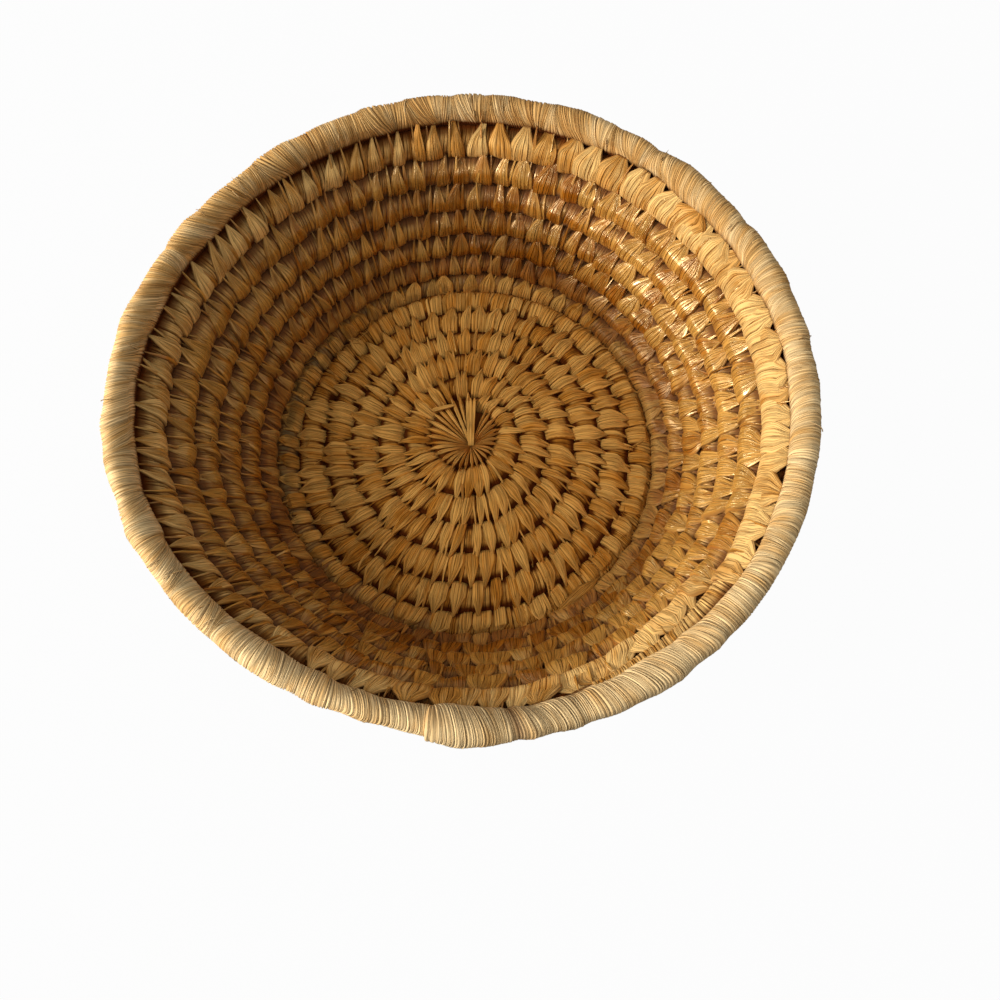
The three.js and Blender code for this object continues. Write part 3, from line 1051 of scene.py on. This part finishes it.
@dataclass(frozen=True)
class Stitching:
    """The wedge-shaped stitches that hold a length of the coil to the next row.

    A spread is the range of a random value, as shares of the usual one or in its own unit.
    """

    name: str
    start: float
    end: float
    leaf: Leaf
    spacing: Pair
    place_spread: float = 0.13
    cover: float = 0.8
    cover_spread: Pair = (0.65, 1.2)
    fuller: float = 0.0
    fuller_width: float = 0.5
    fuller_taper: float = 0.34
    # Painted light and shade: paler on the bowl's right and left, darker on its far and near sides.
    fuller_tip: float = 0.0024
    side_light_and_shade: float = 0.0
    taper_from: float = 0.15
    taper_spread: float = 0.12
    bend: Pair = (1.1, 2.0)
    tip_width: float = 0.0005
    lean: float = 0.0010
    lean_spread: float = 0.0014
    tip_lean: float = 0.0012
    tip_lean_spread: Pair = (-0.6, 1.6)
    thickness: float = 0.0011
    thickness_spread: Pair = (0.7, 1.4)
    thickness_stops: Stops = ((0, 0.5), (0.15, 0.9), (0.6, 1.0), (0.9, 0.9), (1, 0.4))
    tilt: float = 0.35
    root: float = 0.0005
    angles: Pair = (-14, 110)
    bridge_from: float = 0.6
    landing: Pair = (20, 56)
    tip_sunk: float = 0.0007
    fibre_length: float = 0.022
    tone: Pair = (0.35, 1.15)
    # Painted shade at the stitch's foot, in the gap beside the seam below.
    foot_shade: Stops = ((0, 1.0), (0.1, 0.7), (0.17, 0.0))
    profile: StripProfile = StripProfile()
    inside: bool = True
    seed: int = 5
    along: int = 13

    def places(self, rng: Rng) -> tuple[Array, Array]:
        """Places of the stitches: the spacing runs evenly from its first value to its last, so
        the distance grows with the square of a stitch's number.

        Args:
            rng: moves each stitch a little.

        Returns:
            Distances along the coil, and the spacing at each.
        """
        length = PATH.length_between(self.start, self.end)
        first, last = self.spacing
        count = max(2, round(2 * length / (first + last)))
        even = (np.arange(count) + 0.5) / count
        spacing = first + (last - first) * even
        place = length * (first * even + (last - first) * even**2 / 2) * 2 / (first + last)
        return place + rng.normal(0, self.place_spread, count) * spacing, spacing

    def half_widths(self, rng: Rng, wide: Array, full: Array, q: Array) -> Array:
        """Half widths: whole from the foot to where the taper begins, then less by a power.

        Args:
            rng: moves the start of each taper and bends it.
            wide: width of each stitch.
            full: how much fuller each is, as a column.
            q: places along a stitch, from 0 to 1.

        Returns:
            Stitches by places.
        """
        spread = rng.uniform(-self.taper_spread, self.taper_spread, full.shape)
        begin = self.taper_from + spread + self.fuller_taper * full
        taper = np.clip((q - begin) / (1 - begin), 0, 1)
        bend = rng.uniform(*self.bend, full.shape)
        half = wide[:, None] / 2 * (1 - taper**bend) + self.tip_width / 2
        return half + self.fuller_tip * full * q

    def laid(self, x: Array, lift: Array, landing: Array, q: Array) -> Array:
        """Points of the stitches: the first part follows the coil's own skin from just under the
        seam below to a little past the coil's back; the rest runs straight over the groove and
        sinks into the skin of the next row.

        Args:
            x: distances along the coil.
            lift: distances off the skin.
            landing: angle on the next row of each stitch.
            q: places along a stitch.

        Returns:
            Points, with one more axis than x.
        """
        turn = PATH.turns_at(x, self.start)
        side = 1.0 if self.inside else -1.0
        first, last = self.angles
        angle = np.radians(first + (last - first) * np.clip(q / self.bridge_from, 0, 1)) * side
        own = PATH.skin(turn, angle[None, :, None], lift)
        past = np.clip((q - self.bridge_from) / (1 - self.bridge_from), 0, 1)
        sink = -self.tip_sunk * (past > 0.99)
        other = PATH.skin(turn + 1, side * landing[:, None, None], lift + sink[None, :, None])
        mixed = past[None, :, None, None]
        return own * (1 - mixed) + other * mixed

    def build(self) -> bpy.types.Object:
        """A strip for each stitch, its width falling from the foot to the tip. Stitches can be
        fuller on one side of the bowl: wider, and with a blunter tip.

        Returns:
            The object.
        """
        rng = np.random.default_rng(self.seed)
        place, spacing = self.places(rng)
        count = len(place)
        azimuth = PATH.turns_at(place, self.start) * TURN
        full = self.fuller * SIDES.fullness(azimuth)[:, None]
        wide = self.cover * spacing * rng.uniform(*self.cover_spread, count)
        wide = wide * (1 + self.fuller_width * full[:, 0])
        lean = self.lean + self.lean_spread * rng.normal(0, 1, count)
        hook = self.tip_lean * rng.uniform(*self.tip_lean_spread, count)
        landing = np.radians(rng.uniform(*self.landing, count))
        q = np.linspace(0, 1, self.along)
        half = self.half_widths(rng, wide, full, q)
        across, share, dark = (a[:, None, :] for a in self.profile.grid(rng, count))
        shift = lean[:, None] * q + hook[:, None] * q**4
        x = place[:, None, None] + shift[..., None] + half[..., None] * across
        x = np.clip(x, 0, PATH.length_between(self.start, self.end))

        bulk = self.thickness * rng.uniform(*self.thickness_spread, count)[:, None]
        bulk = bulk * between(self.thickness_stops, q)
        tilt = rng.normal(0, self.tilt, count)[:, None, None] * across
        lift = np.where(share < 0, -self.root, bulk[..., None] * (share + tilt * (share > 0)))
        points = self.laid(x, lift, landing, q)

        u = rng.uniform(0, FIBRE_SPREAD, count)[:, None, None] + across * wide[:, None, None] / 2
        v = q[None, :, None] * self.fibre_length + rng.uniform(0, 1, count)[:, None, None]
        uv = np.stack(np.broadcast_arrays(u, v), axis=-1)
        # Painted light and shade by side of the bowl.
        tone = rng.uniform(*self.tone, count) + self.side_light_and_shade * SIDES.painted_light_and_shade(azimuth)
        # Painted shade at the foot, and in the creases, at the edges and under each strip.
        painted_shade = np.maximum(between(self.foot_shade, q)[None, :, None], dark)
        if self.inside:
            points, uv, painted_shade = points[:, :, ::-1], uv[:, :, ::-1], painted_shade[:, :, ::-1]
        parts = MeshParts()
        faces = strip_faces(count, self.along, points.shape[2])
        parts.add(points, faces, uv, tone[:, None, None], painted_shade)
        return parts.build(self.name, self.leaf)


@dataclass(frozen=True)
class Ribbon:
    """A kind of flat strip that lies along a line of its own."""

    thickness: float
    profile: StripProfile = StripProfile()
    # Painted shade towards the strip's ends: how dark each end is, and how far along it reaches.
    shaded_ends: Pair = (0.0, 0.0)
    shade_reach: Pair = (0.12, 0.9)
    under: float = 0.4

    def add(
        self, parts: MeshParts, rng: Rng, middle: Array, up: Array, half: Array,
        tone: Values,
    ) -> None:
        """Adds strips of this kind.

        Args:
            parts: gets the strips.
            rng: moves their creases and their place on the fibre map.
            middle: strips by points by 3.
            up: the side that their backs face, one vector or one a point.
            half: half of the width, strips by points.
            tone: one value, or strips by 1 by 1.
        """
        count, steps = middle.shape[:2]
        along = np.gradient(middle, axis=1)
        along /= np.linalg.norm(along, axis=-1, keepdims=True)
        side = np.cross(along, up)
        side /= np.linalg.norm(side, axis=-1, keepdims=True)
        out = np.cross(side, along)
        across, share, dark = (a[:, None, :] for a in self.profile.grid(rng, count))
        shift = half[..., None] * across
        rise = self.thickness * np.where(share < 0, share * self.under, share)
        points = middle[:, :, None] + side[:, :, None] * shift[..., None]
        points = points + out[:, :, None] * rise[..., None]
        length = np.linalg.norm(np.diff(middle, axis=1), axis=-1).sum(axis=1)
        q = np.linspace(0, 1, steps)
        u = rng.uniform(0, FIBRE_SPREAD, count)[:, None, None] + across * half.max()
        v = q[None, :, None] * length[:, None, None]
        uv = np.stack(np.broadcast_arrays(u, v), axis=-1)
        # Painted shade at the ends, and in the creases, at the edges and under the strip.
        dark_stops = zip((0, *self.shade_reach, 1), (self.shaded_ends[0], 0, 0, self.shaded_ends[1]))
        painted_shade = np.maximum(between(tuple(dark_stops), q)[None, :, None], dark)
        parts.add(points, strip_faces(count, steps, points.shape[2]), uv, tone, painted_shade)


@dataclass(frozen=True)
class Rosette:
    """The start of the coil: thin strips that spring from one hole, on a bed.

    A share is a part of the way from the hole's middle to the rosette's outline, and a bare part
    of the first turn has no strips.
    """

    hole: Pair = (-0.0007, 0.0042)
    lip_turn: float = 0.01
    gap: float = 0.0005
    crown: float = 0.0006
    seat_cut: float = 0.0012
    dish: float = 0.0024
    dish_share: float = 0.5
    edge_drop: float = 0.0022
    edge_from: float = 0.65
    edge_span: float = 0.4
    columns: int = 72
    bed_shares: tuple[float, ...] = (0.07, 0.2, 0.4, 0.6, 0.8, 0.93, 1.12)
    bed_drop: float = 0.0009
    bed_edge_height: float = 0.003
    bed_underside: float = 0.0012
    bed_girth: float = 0.06
    # Painted shade: the bed that shows between the strips is painted dark.
    bed_shade: float = 0.9
    strips: int = 31
    bare: Pair = (0.048, 0.018)
    turn_spread: float = 0.16
    shares: Pair = (0.085, 0.885)
    tip_from: float = 0.85
    tip_span: float = 0.15
    strip_drop: float = 0.0004
    strip_unevenness: Pair = (-0.0003, 0.0004)
    strip_underside: float = 0.0014
    landing: Pair = (24, 48)
    first_landing_turn: float = 0.02
    width_spread: Pair = (0.6, 0.86)
    width_stops: Stops = ((0, 1), (0.7, 1), (1, 0.12))
    least_half: float = 0.00024
    tone: Pair = (0.4, 1.2)
    # Painted shade at the strips' inner ends, next to the hole.
    ribbon: Ribbon = Ribbon(
        0.0012, StripProfile((0.1,), half_crease=0.2, crease_depth=-0.5, crease_dark=0.0),
        shaded_ends=(0.6, 0.0),
    )
    steps: int = 12
    seed: int = 31

    @property
    def top(self) -> float:
        """Height of the bed's crown."""
        return 2 * PATH.base_mid + self.seat_cut + self.crown

    def edge(self, turn: Array) -> Array:
        """Points of the rosette's outline, the inner side of the first row."""
        s = PATH.sections(turn)
        return s.middle - s.across * (s.half_width + self.gap)[..., None]

    def height(self, share: Array) -> Array:
        """Height of the bed: it rises from the hole to its crown and falls to its edge."""
        sunk = self.dish * (1 - smooth(share / self.dish_share))
        return self.top - sunk - self.edge_drop * smooth((share - self.edge_from) / self.edge_span)

    def place(self, turn: Array, share: Array, drop: float = 0.0) -> Array:
        """Points on the bed, on straight lines from the hole's middle to the outline.

        Args:
            turn: where a line meets the outline.
            share: part of the way along the line.
            drop: distance under the bed's height.

        Returns:
            The points.
        """
        start = np.array([*self.hole, 0.0])
        points = start + (self.edge(turn) - start) * share[..., None]
        points[..., 2] = self.height(share) - drop
        return points

    def build_bed(self) -> None:
        """The bed: a ring of columns, each a closed profile from the hole to the outline."""
        k = np.arange(self.columns)[:, None]
        turn = self.lip_turn + k / (self.columns - 1) * (1 - self.lip_turn)
        shares = np.array([self.bed_shares])
        over = self.place(*np.broadcast_arrays(turn, shares), drop=self.bed_drop)
        over[:, -1, 2] = self.bed_edge_height
        under = over[:, ::-1].copy()
        under[..., 2] = self.bed_underside
        points = np.concatenate([over, under], axis=1)
        n = points.shape[1]
        a = k * n + np.arange(n)
        b = k * n + np.roll(np.arange(n), -1)
        c = np.roll(a, -1, axis=0)
        d = np.roll(b, -1, axis=0)
        faces = [np.stack([a, b, d, c], axis=-1).reshape(-1, 4)]
        level = 0 * points[..., 0]
        uv = np.stack([turn * self.bed_girth + level, level], axis=-1)
        parts = MeshParts()
        # Painted shade over the whole bed.
        parts.add(points, faces, uv, tone=0.0, painted_shade=self.bed_shade)
        parts.build("rosette_bed", BASE_LEAF, ("start_rosette",))

    def build_strips(self, name: str, under: bool = False) -> None:
        """The strips: each widens from the hole, then narrows to a tip on the first row.

        Args:
            name: name of the piece.
            under: True for those of the underside.
        """
        rng = np.random.default_rng(self.seed)
        k = np.arange(self.strips)[:, None]
        own = k + 0.5 + rng.uniform(-self.turn_spread, self.turn_spread, k.shape)
        turn = self.bare[0] + (1 - sum(self.bare)) * own / self.strips
        q = np.linspace(0, 1, self.steps)[None]
        share = self.shares[0] + self.shares[1] * np.clip(q / self.tip_from, 0, 1)
        middle = self.place(*np.broadcast_arrays(turn, share), drop=self.strip_drop)
        middle[..., 2] += rng.uniform(*self.strip_unevenness, k.shape)
        landing = np.radians(rng.uniform(*self.landing, k.shape))
        if under:
            middle[..., 2] = self.strip_underside
            landing = -landing
        tip = PATH.skin(np.maximum(turn, self.first_landing_turn), landing, 0.0)
        past = np.clip((q - self.tip_from) / self.tip_span, 0, 1)[..., None]
        middle = middle * (1 - past) + tip * past
        apart = np.linalg.norm(np.gradient(self.edge(turn)[:, 0], axis=0), axis=-1, keepdims=True)
        room = apart * share / 2
        half = np.maximum(room * rng.uniform(*self.width_spread, k.shape), self.least_half)
        half = half * between(self.width_stops, q)
        tone = rng.uniform(*self.tone, (self.strips, 1, 1))
        parts = MeshParts()
        self.ribbon.add(parts, rng, middle, -UP if under else UP, half, tone)
        parts.build(name, BASE_LEAF)


@dataclass(frozen=True)
class Strand:
    """The flat strand over the rosette: three strips side by side, which run from the hole over
    the first row, one strip that is folded back, and the loop round the hole."""

    rosette: Rosette
    end: Pair = (-0.0055, 0.0307)
    lift: float = 0.0017
    dip_share: float = 0.35
    end_drop: float = 0.002
    widths: Stops = ((0, 0.0030), (1, 0.0062))
    # Painted shade at the strand's end in the hole.
    flat: Ribbon = Ribbon(0.0013, StripProfile((), edge=0.16), shaded_ends=(0.3, 0))
    unevenness: float = 0.0003
    overlap: float = 1.05
    narrow_from: float = 0.88
    tip: float = 0.2
    tone_step: float = 0.15
    fold: tuple[Pair, Pair] = ((-0.0137, 0.0251), (-0.0250, 0.0200))
    fold_lifts: Pair = (0.0012, 0.0021)
    fold_halves: Pair = (0.0009, 0.0011)
    fold_stops: Stops = ((0, 0.7), (0.3, 1), (0.9, 1), (1, 0.6))
    fold_ribbon: Ribbon = Ribbon(0.0007)
    loop_angles: Pair = (-70, 235)
    loop_radius: float = 0.0015
    loop_lift: float = 0.0009
    loop_half: float = 0.0004
    loop_ribbon: Ribbon = Ribbon(0.0008)
    loop_tone: float = 0.2
    steps: int = 12
    seed: int = 7

    def line(self, start: Pair, end: Pair, lift: float) -> Array:
        """A straight line over the bed, which dips towards the hole like the bed does.

        Args:
            start: its first point, seen from above.
            end: its last.
            lift: its height over the bed's crown.

        Returns:
            Its points.
        """
        q = np.linspace(0, 1, self.steps)
        rosette = self.rosette
        points = np.array([*start, 0.0]) + (np.array([*end, 0.0]) - [*start, 0.0]) * q[:, None]
        share = np.hypot(*(points[:, :2] - rosette.hole).T) / math.dist(rosette.hole, self.end)
        points[:, 2] = rosette.top + lift - rosette.dish * (1 - smooth(share / self.dip_share))
        return points

    def build(self) -> None:
        """Builds all of it as one piece."""
        rng = np.random.default_rng(self.seed)
        parts = MeshParts()
        q = np.linspace(0, 1, self.steps)
        hole = self.rosette.hole
        line = self.line(hole, self.end, self.lift)
        line[-1, 2] -= self.end_drop
        side = np.cross(line[-1] - line[0], UP)
        side /= np.linalg.norm(side)
        width = between(self.widths, q) / 3
        for i in (-1, 0, 1):
            middle = line + side * (i * width)[:, None]
            middle[:, 2] += rng.uniform(0, self.unevenness)
            tip = self.tip + self.tip * abs(i)
            stops = ((0, self.overlap), (self.narrow_from, self.overlap), (1, tip))
            half = width / 2 * between(stops, q)
            self.flat.add(parts, rng, middle[None], UP, half[None], 1.0 - self.tone_step * i)
        corner, back = self.fold
        ends = ((hole, corner), (corner, back))
        for (a, b), lift, widest in zip(ends, self.fold_lifts, self.fold_halves):
            middle, half = self.line(a, b, lift), widest * between(self.fold_stops, q)
            self.fold_ribbon.add(parts, rng, middle[None], UP, half[None], 1.0)
        angle = np.radians(np.linspace(*self.loop_angles, self.steps))
        loop = np.stack([-np.cos(angle), -np.sin(angle), 0 * angle], axis=-1) * self.loop_radius
        loop += [*hole, self.rosette.top - self.rosette.dish + self.loop_lift]
        half = np.full((1, self.steps), self.loop_half)
        self.loop_ribbon.add(parts, rng, loop[None], UP, half, self.loop_tone)
        parts.build("start_strand_strips", BASE_LEAF, ("start_strand",))


@dataclass(frozen=True)
class SpliceTail:
    """The loose end of a strip at the foot of the wall: an arch from one place on the skin to
    another, each given by its turn, its angle round the coil and its height over the skin."""

    begin: Triple = (5.400, 132, 0.0022)
    end: Triple = (6.354, 75, 0.0030)
    arch: float = 0.0012
    widths: Stops = ((0, 0.0024), (0.3, 0.0052), (0.6, 0.0078), (1, 0.0006))
    ribbon: Ribbon = Ribbon(0.0007)
    tone: float = 0.25
    steps: int = 9
    seed: int = 44

    def build(self) -> None:
        """Builds the strip, which leans outward and is widest past its middle."""
        rng = np.random.default_rng(self.seed)
        begin, end = (
            PATH.skin(np.array(turn), np.radians(angle), lift)
            for turn, angle, lift in (self.begin, self.end)
        )
        q = np.linspace(0, 1, self.steps)
        rise = UP * self.arch * np.sin(math.pi * q)[:, None]
        middle = (begin + (end - begin) * q[:, None] + rise)[None]
        half = between(self.widths, q)[None] / 2
        parts = MeshParts()
        self.ribbon.add(parts, rng, middle, UP + middle * [1, 1, 0], half, self.tone)
        parts.build("splice_tail_strip", FAN_LEAF, ("splice_tail",))


@dataclass(frozen=True)
class Strays:
    """Loose fibres that lie along the rows."""

    name: str
    leaf: Leaf
    turns: Pair
    angles: Pair
    count: int
    length: Pair = (0.005, 0.014)
    heading: Pair = (-1.1, 1.1)
    curl: float = 0.25
    arch_spread: Pair = (0.6, 1)
    sunk: float = -0.0004
    stand: float = 0.0012
    stand_spread: Pair = (0.1, 1)
    width: float = 0.00045
    width_spread: Pair = (0.5, 1.3)
    width_stops: Stops = ((0, 0.8), (0.5, 1), (1, 0.3))
    ribbon: Ribbon = Ribbon(0.00025, StripProfile((), edge=0.4))
    tone: Pair = (0.2, 1.1)
    steps: int = 7
    seed: int = 60

    def build(self) -> bpy.types.Object:
        """Thin strips, each an arch from one place on the skin to another: its height is a sine
        of the share of the way, and so is its bend to one side.

        Returns:
            The object.
        """
        rng = np.random.default_rng(self.seed)
        n = (self.count, 1)
        q = np.linspace(0, 1, self.steps)[None]
        turn = rng.uniform(*self.turns, n)
        angle = np.radians(rng.uniform(*self.angles, n))
        heading = rng.uniform(*self.heading, n)
        run = rng.uniform(*self.length, n)
        radius = np.hypot(*np.moveaxis(PATH.sections(turn).middle[..., :2], -1, 0))
        turns = turn + run * np.cos(heading) * q / (TURN * radius)
        angles = angle + run * np.sin(heading) * q / (PATH.coil_thickness / 2)
        angles = angles + rng.uniform(-self.curl, self.curl, n) * np.sin(q * math.pi)
        arch = np.sin(q * math.pi * rng.uniform(*self.arch_spread, n))
        lift = rng.uniform(*self.stand_spread, n) * self.stand * arch - self.sunk
        middle = PATH.skin(turns, angles, lift)
        up = PATH.skin(turns, angles, lift + MILLIMETRE) - middle
        half = self.width / 2 * rng.uniform(*self.width_spread, n) * between(self.width_stops, q)
        parts = MeshParts()
        tone = rng.uniform(*self.tone, (self.count, 1, 1))
        self.ribbon.add(parts, rng, middle, up, half, tone)
        return parts.build(self.name, self.leaf)


@dataclass(frozen=True)
class Binding:
    """Where each strip of the binding begins and ends, in turns, and what it is like there."""

    joint: float = 0.0012
    wall_splice: float = 9.0
    fans: Pair = (11.33, 12.33)
    fans_overlap: float = 0.08
    rim_splices: Pair = (12.98, 13.05)
    rim_wrap_width: float = 0.00115
    lap_bulge: Triple = (0.0014, 0.150, 0.030)
    lap_nick: Pair = (0.129, 0.0009)
    first_stitch: float = 0.006
    foot_past_base: float = 0.6
    slivers_from: float = 0.3

    @property
    def foot(self) -> float:
        """Turn at the foot of the wall, where its stitches begin."""
        return PATH.base_turns() + self.foot_past_base

    def wrap_bowl(self) -> None:
        """The close wraps of the base and of the wall."""
        base_end, fans = PATH.base_turns(), self.fans
        Wrapping(
            "base_wraps", -0.02, base_end + self.joint, BASE_LEAF,
            # The base's seams get a wider band of painted shade.
            ("base_binding", "core_bundle"), paleness=0.5, rounded=0.002, seam_shade=(0.55, 0.22),
        ).build()
        cuts = (base_end, self.wall_splice, fans[0])
        for i, part in enumerate(("low", "high")):
            Wrapping(
                "wall_wraps_" + part, cuts[i], cuts[i + 1] + self.joint, WALL_LEAF,
                ("wall_binding_" + part,), side_light_and_shade=0.15, seed=2 + i,
            ).build()
        Wrapping(
            "top_row_wraps", fans[0], fans[1] + self.fans_overlap, FAN_LEAF, slim=0.0004,
            side_light_and_shade=0.15, seed=4,
        ).build()

    def wrap_rim(self) -> None:
        """The rim's fine wraps, in three lengths and the end, whose lap bulges and is nicked."""
        wrapping = Wrapping(
            "", 0.0, 0.0, RIM_LEAF, wrap_width=self.rim_wrap_width, lean=-0.0022, around=24,
            groove=0.0004, swell=0.0007, lip=0.0004, slim=0.0011, free_top=True,
            # Painted shade under the rim only, none on its free top, and light painted shade in its
            # grooves.
            gap_shade=(1.0, 0.0), stripe=0.25, tanned=0.28, crease_dark=0.22,
        )
        cuts = (PATH.lap_turn, *self.rim_splices, PATH.climb_start, PATH.lap_turn + 1)
        for i, node in enumerate(("rim_binding_1", "rim_binding_2", "rim_binding_3")):
            replace(
                wrapping, name=node + "_wraps", start=cuts[i], end=cuts[i + 1] + self.joint,
                replaced=(node,), seed=11 + i,
            ).build()
        replace(
            wrapping, name="rim_tail_wraps", start=cuts[-2], end=cuts[-1], replaced=("rim_tail",),
            bulge=self.lap_bulge, nick=self.lap_nick, tail=True, seed=14,
        ).build()

    def stitch(self, where: str, inside: bool, seed: int) -> None:
        """The stitches of one side of the bowl.

        Args:
            where: ends the names of the pieces.
            inside: True for the bowl's inside.
            seed: the first of the four pieces' seeds.
        """
        Stitching(
            "base_stitches_" + where, self.first_stitch, self.foot, BASE_LEAF, (0.0056, 0.0116),
            taper_from=0.54, bend=(0.8, 1.15), tip_width=0.0008, lean=0.0016, landing=(32, 56),
            inside=inside, seed=seed,
        ).build()
        wall = Stitching(
            "wall_stitches_low_" + where, self.foot, self.wall_splice, WALL_LEAF,
            (0.0108, 0.0108), cover=0.7, side_light_and_shade=0.2, fuller=0.75, taper_from=0.25,
            tip_lean=0.0024, tilt=0.6, inside=inside, seed=seed + 1,
        )
        wall.build()
        replace(
            wall, name="wall_stitches_high_" + where, start=self.wall_splice, end=self.fans[0],
            spacing=(0.0108, 0.0114), seed=seed + 2,
        ).build()
        Stitching(
            "top_row_stitches_" + where, *self.fans, FAN_LEAF, (0.0110, 0.0110), cover=0.76,
            side_light_and_shade=0.2, fuller=1.3, taper_from=0.3, tip_width=0.0008, tip_lean=0.0024, tilt=0.5,
            inside=inside, seed=seed + 3,
        ).build()

    def add_slivers(self) -> None:
        """The thin slivers beside the stitches on the inside."""
        base = Stitching(
            "base_slivers", self.slivers_from, self.foot, BASE_LEAF, (0.0070, 0.0110), cover=0.2,
            taper_from=0.3, thickness=0.0009, profile=StripProfile((), edge=0.3), seed=41, along=9,
        )
        base.build()
        replace(
            base, name="wall_slivers", start=self.foot, end=self.fans[1], leaf=WALL_LEAF,
            spacing=(0.0090, 0.0090), seed=42,
        ).build()

    def build(self) -> None:
        """The wraps, then the stitches on the inside and on the outside."""
        self.wrap_bowl()
        self.wrap_rim()
        self.stitch("inside", True, seed=5)
        self.stitch("outside", False, seed=25)
        self.add_slivers()


def place_on_stage(made: bpy.types.Object) -> bpy.types.Object:
    """Links an object to the scene."""
    bpy.context.scene.collection.objects.link(made)
    return made


@dataclass(frozen=True)
class Lamp:
    """A square soft lamp."""

    name: str
    place: Triple
    size: float
    power: float
    colour: Colour

    def build(self, aim: Triple) -> None:
        """Builds the lamp, whose -Z points to the aim, with +Y as near to up as it can be.

        Args:
            aim: the point that it looks at.
        """
        data = bpy.data.lights.new(self.name, "AREA")
        data.size = self.size
        data.energy = self.power
        data.color = self.colour
        back = np.array(self.place) - np.array(aim)
        back /= np.linalg.norm(back)
        right = np.cross(UP, back)
        right /= np.linalg.norm(right)
        turned = np.stack([right, np.cross(back, right), back], axis=1)
        made = place_on_stage(bpy.data.objects.new(self.name, data))
        made.location = self.place
        made.rotation_euler = Matrix(turned.tolist()).to_euler()


@dataclass(frozen=True)
class Studio:
    """Floor, soft lamps and the camera at the photograph's place."""

    camera_place: Triple = (0.04003, -0.13307, 0.40813)
    camera_right: Triple = (0.98551, 0.16958, -0.00243)
    camera_up: Triple = (-0.16263, 0.949, 0.27009)
    camera_back: Triple = (0.04811, -0.26578, 0.96283)
    camera_clip: Pair = (0.01, 20)
    sensor_width: float = 36
    focal_pixels: float = 770.0
    frame_pixels: float = 1000.0
    floor_half: float = 3.0
    floor_white: float = 0.97
    floor_grey: float = 0.25
    floor_roughness: float = 0.9
    floor_specular: float = 0.1
    sky: float = 0.455
    aim: Triple = (0, 0, 0.04)
    lamps: tuple[Lamp, ...] = (
        Lamp("window", (-1.42, -0.53, 0.53), 0.30, 29.5, (1, 0.95, 0.88)),
        Lamp("key", (-1.02, -0.42, 1.13), 0.4, 9, (1, 0.97, 0.92)),
    )

    def camera(self) -> None:
        """The camera: a lens whose focal length is the fitted one, for a 36 mm sensor."""
        data = bpy.data.cameras.new("camera")
        data.sensor_width = self.sensor_width
        data.lens = self.focal_pixels / self.frame_pixels * data.sensor_width
        data.clip_start, data.clip_end = self.camera_clip
        columns = np.array([self.camera_right, self.camera_up, self.camera_back]).T
        turned, _, opposite = np.linalg.svd(columns)
        whole = np.eye(4)
        whole[:3, :3] = turned @ opposite
        whole[:3, 3] = self.camera_place
        made = place_on_stage(bpy.data.objects.new("camera", data))
        made.matrix_world = Matrix(whole.tolist())
        bpy.context.scene.camera = made

    def floor(self) -> None:
        """A pale floor that is white to the camera and keeps the bowl's shadow."""
        mesh = bpy.data.meshes.new("floor")
        signs = ((-1, -1), (1, -1), (1, 1), (-1, 1))
        corners = [(x * self.floor_half, y * self.floor_half, 0) for x, y in signs]
        mesh.from_pydata(corners, [], [(0, 1, 2, 3)])
        material = bpy.data.materials.new("floor")
        material.use_nodes = True
        tree, nodes = NodeTree(material.node_tree), material.node_tree.nodes
        shader = nodes["Principled BSDF"]
        shader.inputs["Base Color"].default_value = (*3 * (self.floor_grey,), 1)
        shader.inputs["Roughness"].default_value = self.floor_roughness
        shader.inputs["Specular IOR Level"].default_value = self.floor_specular
        seen = nodes.new("ShaderNodeLightPath").outputs["Is Camera Ray"]
        white = nodes.new("ShaderNodeEmission").outputs[0]
        mixed = nodes.new("ShaderNodeMixShader")
        share = tree.math("MULTIPLY", seen, self.floor_white)
        for source, target in zip((share, shader.outputs[0], white), mixed.inputs):
            tree.link(source, target)
        tree.link(mixed.outputs[0], nodes["Material Output"].inputs["Surface"])
        mesh.materials.append(material)
        place_on_stage(bpy.data.objects.new("floor", mesh))

    def build(self) -> None:
        """Sets the whole stage."""
        self.camera()
        self.floor()
        world = bpy.data.worlds.new("world")
        bpy.context.scene.world = world
        world.use_nodes = True
        sky = world.node_tree.nodes["Background"]
        sky.inputs["Color"].default_value = (1, 1, 1, 1)
        sky.inputs["Strength"].default_value = self.sky
        for lamp in self.lamps:
            lamp.build(self.aim)
        bpy.context.scene.view_settings.view_transform = "Standard"


def main() -> None:
    """Builds the bowl piece by piece, then the stage."""
    Binding().build()
    rosette = Rosette()
    rosette.build_bed()
    rosette.build_strips("rosette_strips")
    rosette.build_strips("rosette_strips_under", under=True)
    Strand(rosette).build()
    SpliceTail().build()
    Strays("corner_strays", BASE_LEAF, (4.7, 5.9), (10, 170), 70).build()
    Strays("wall_strays", WALL_LEAF, (6.0, 11.4), (100, 170), 24, stand=0.0007, seed=61).build()
    Strays(
        "rim_strays", RIM_LEAF, (12.5, 13.28), (40, 150), 60, (0.003, 0.008), heading=(1.1, 1.9),
        sunk=0.0009, width=0.0004, stand=0.0009, seed=62,
    ).build()
    Studio().build()


if __name__ == "__main__":
    logging.basicConfig(level=logging.INFO, format="%(name)s %(message)s")
    main()
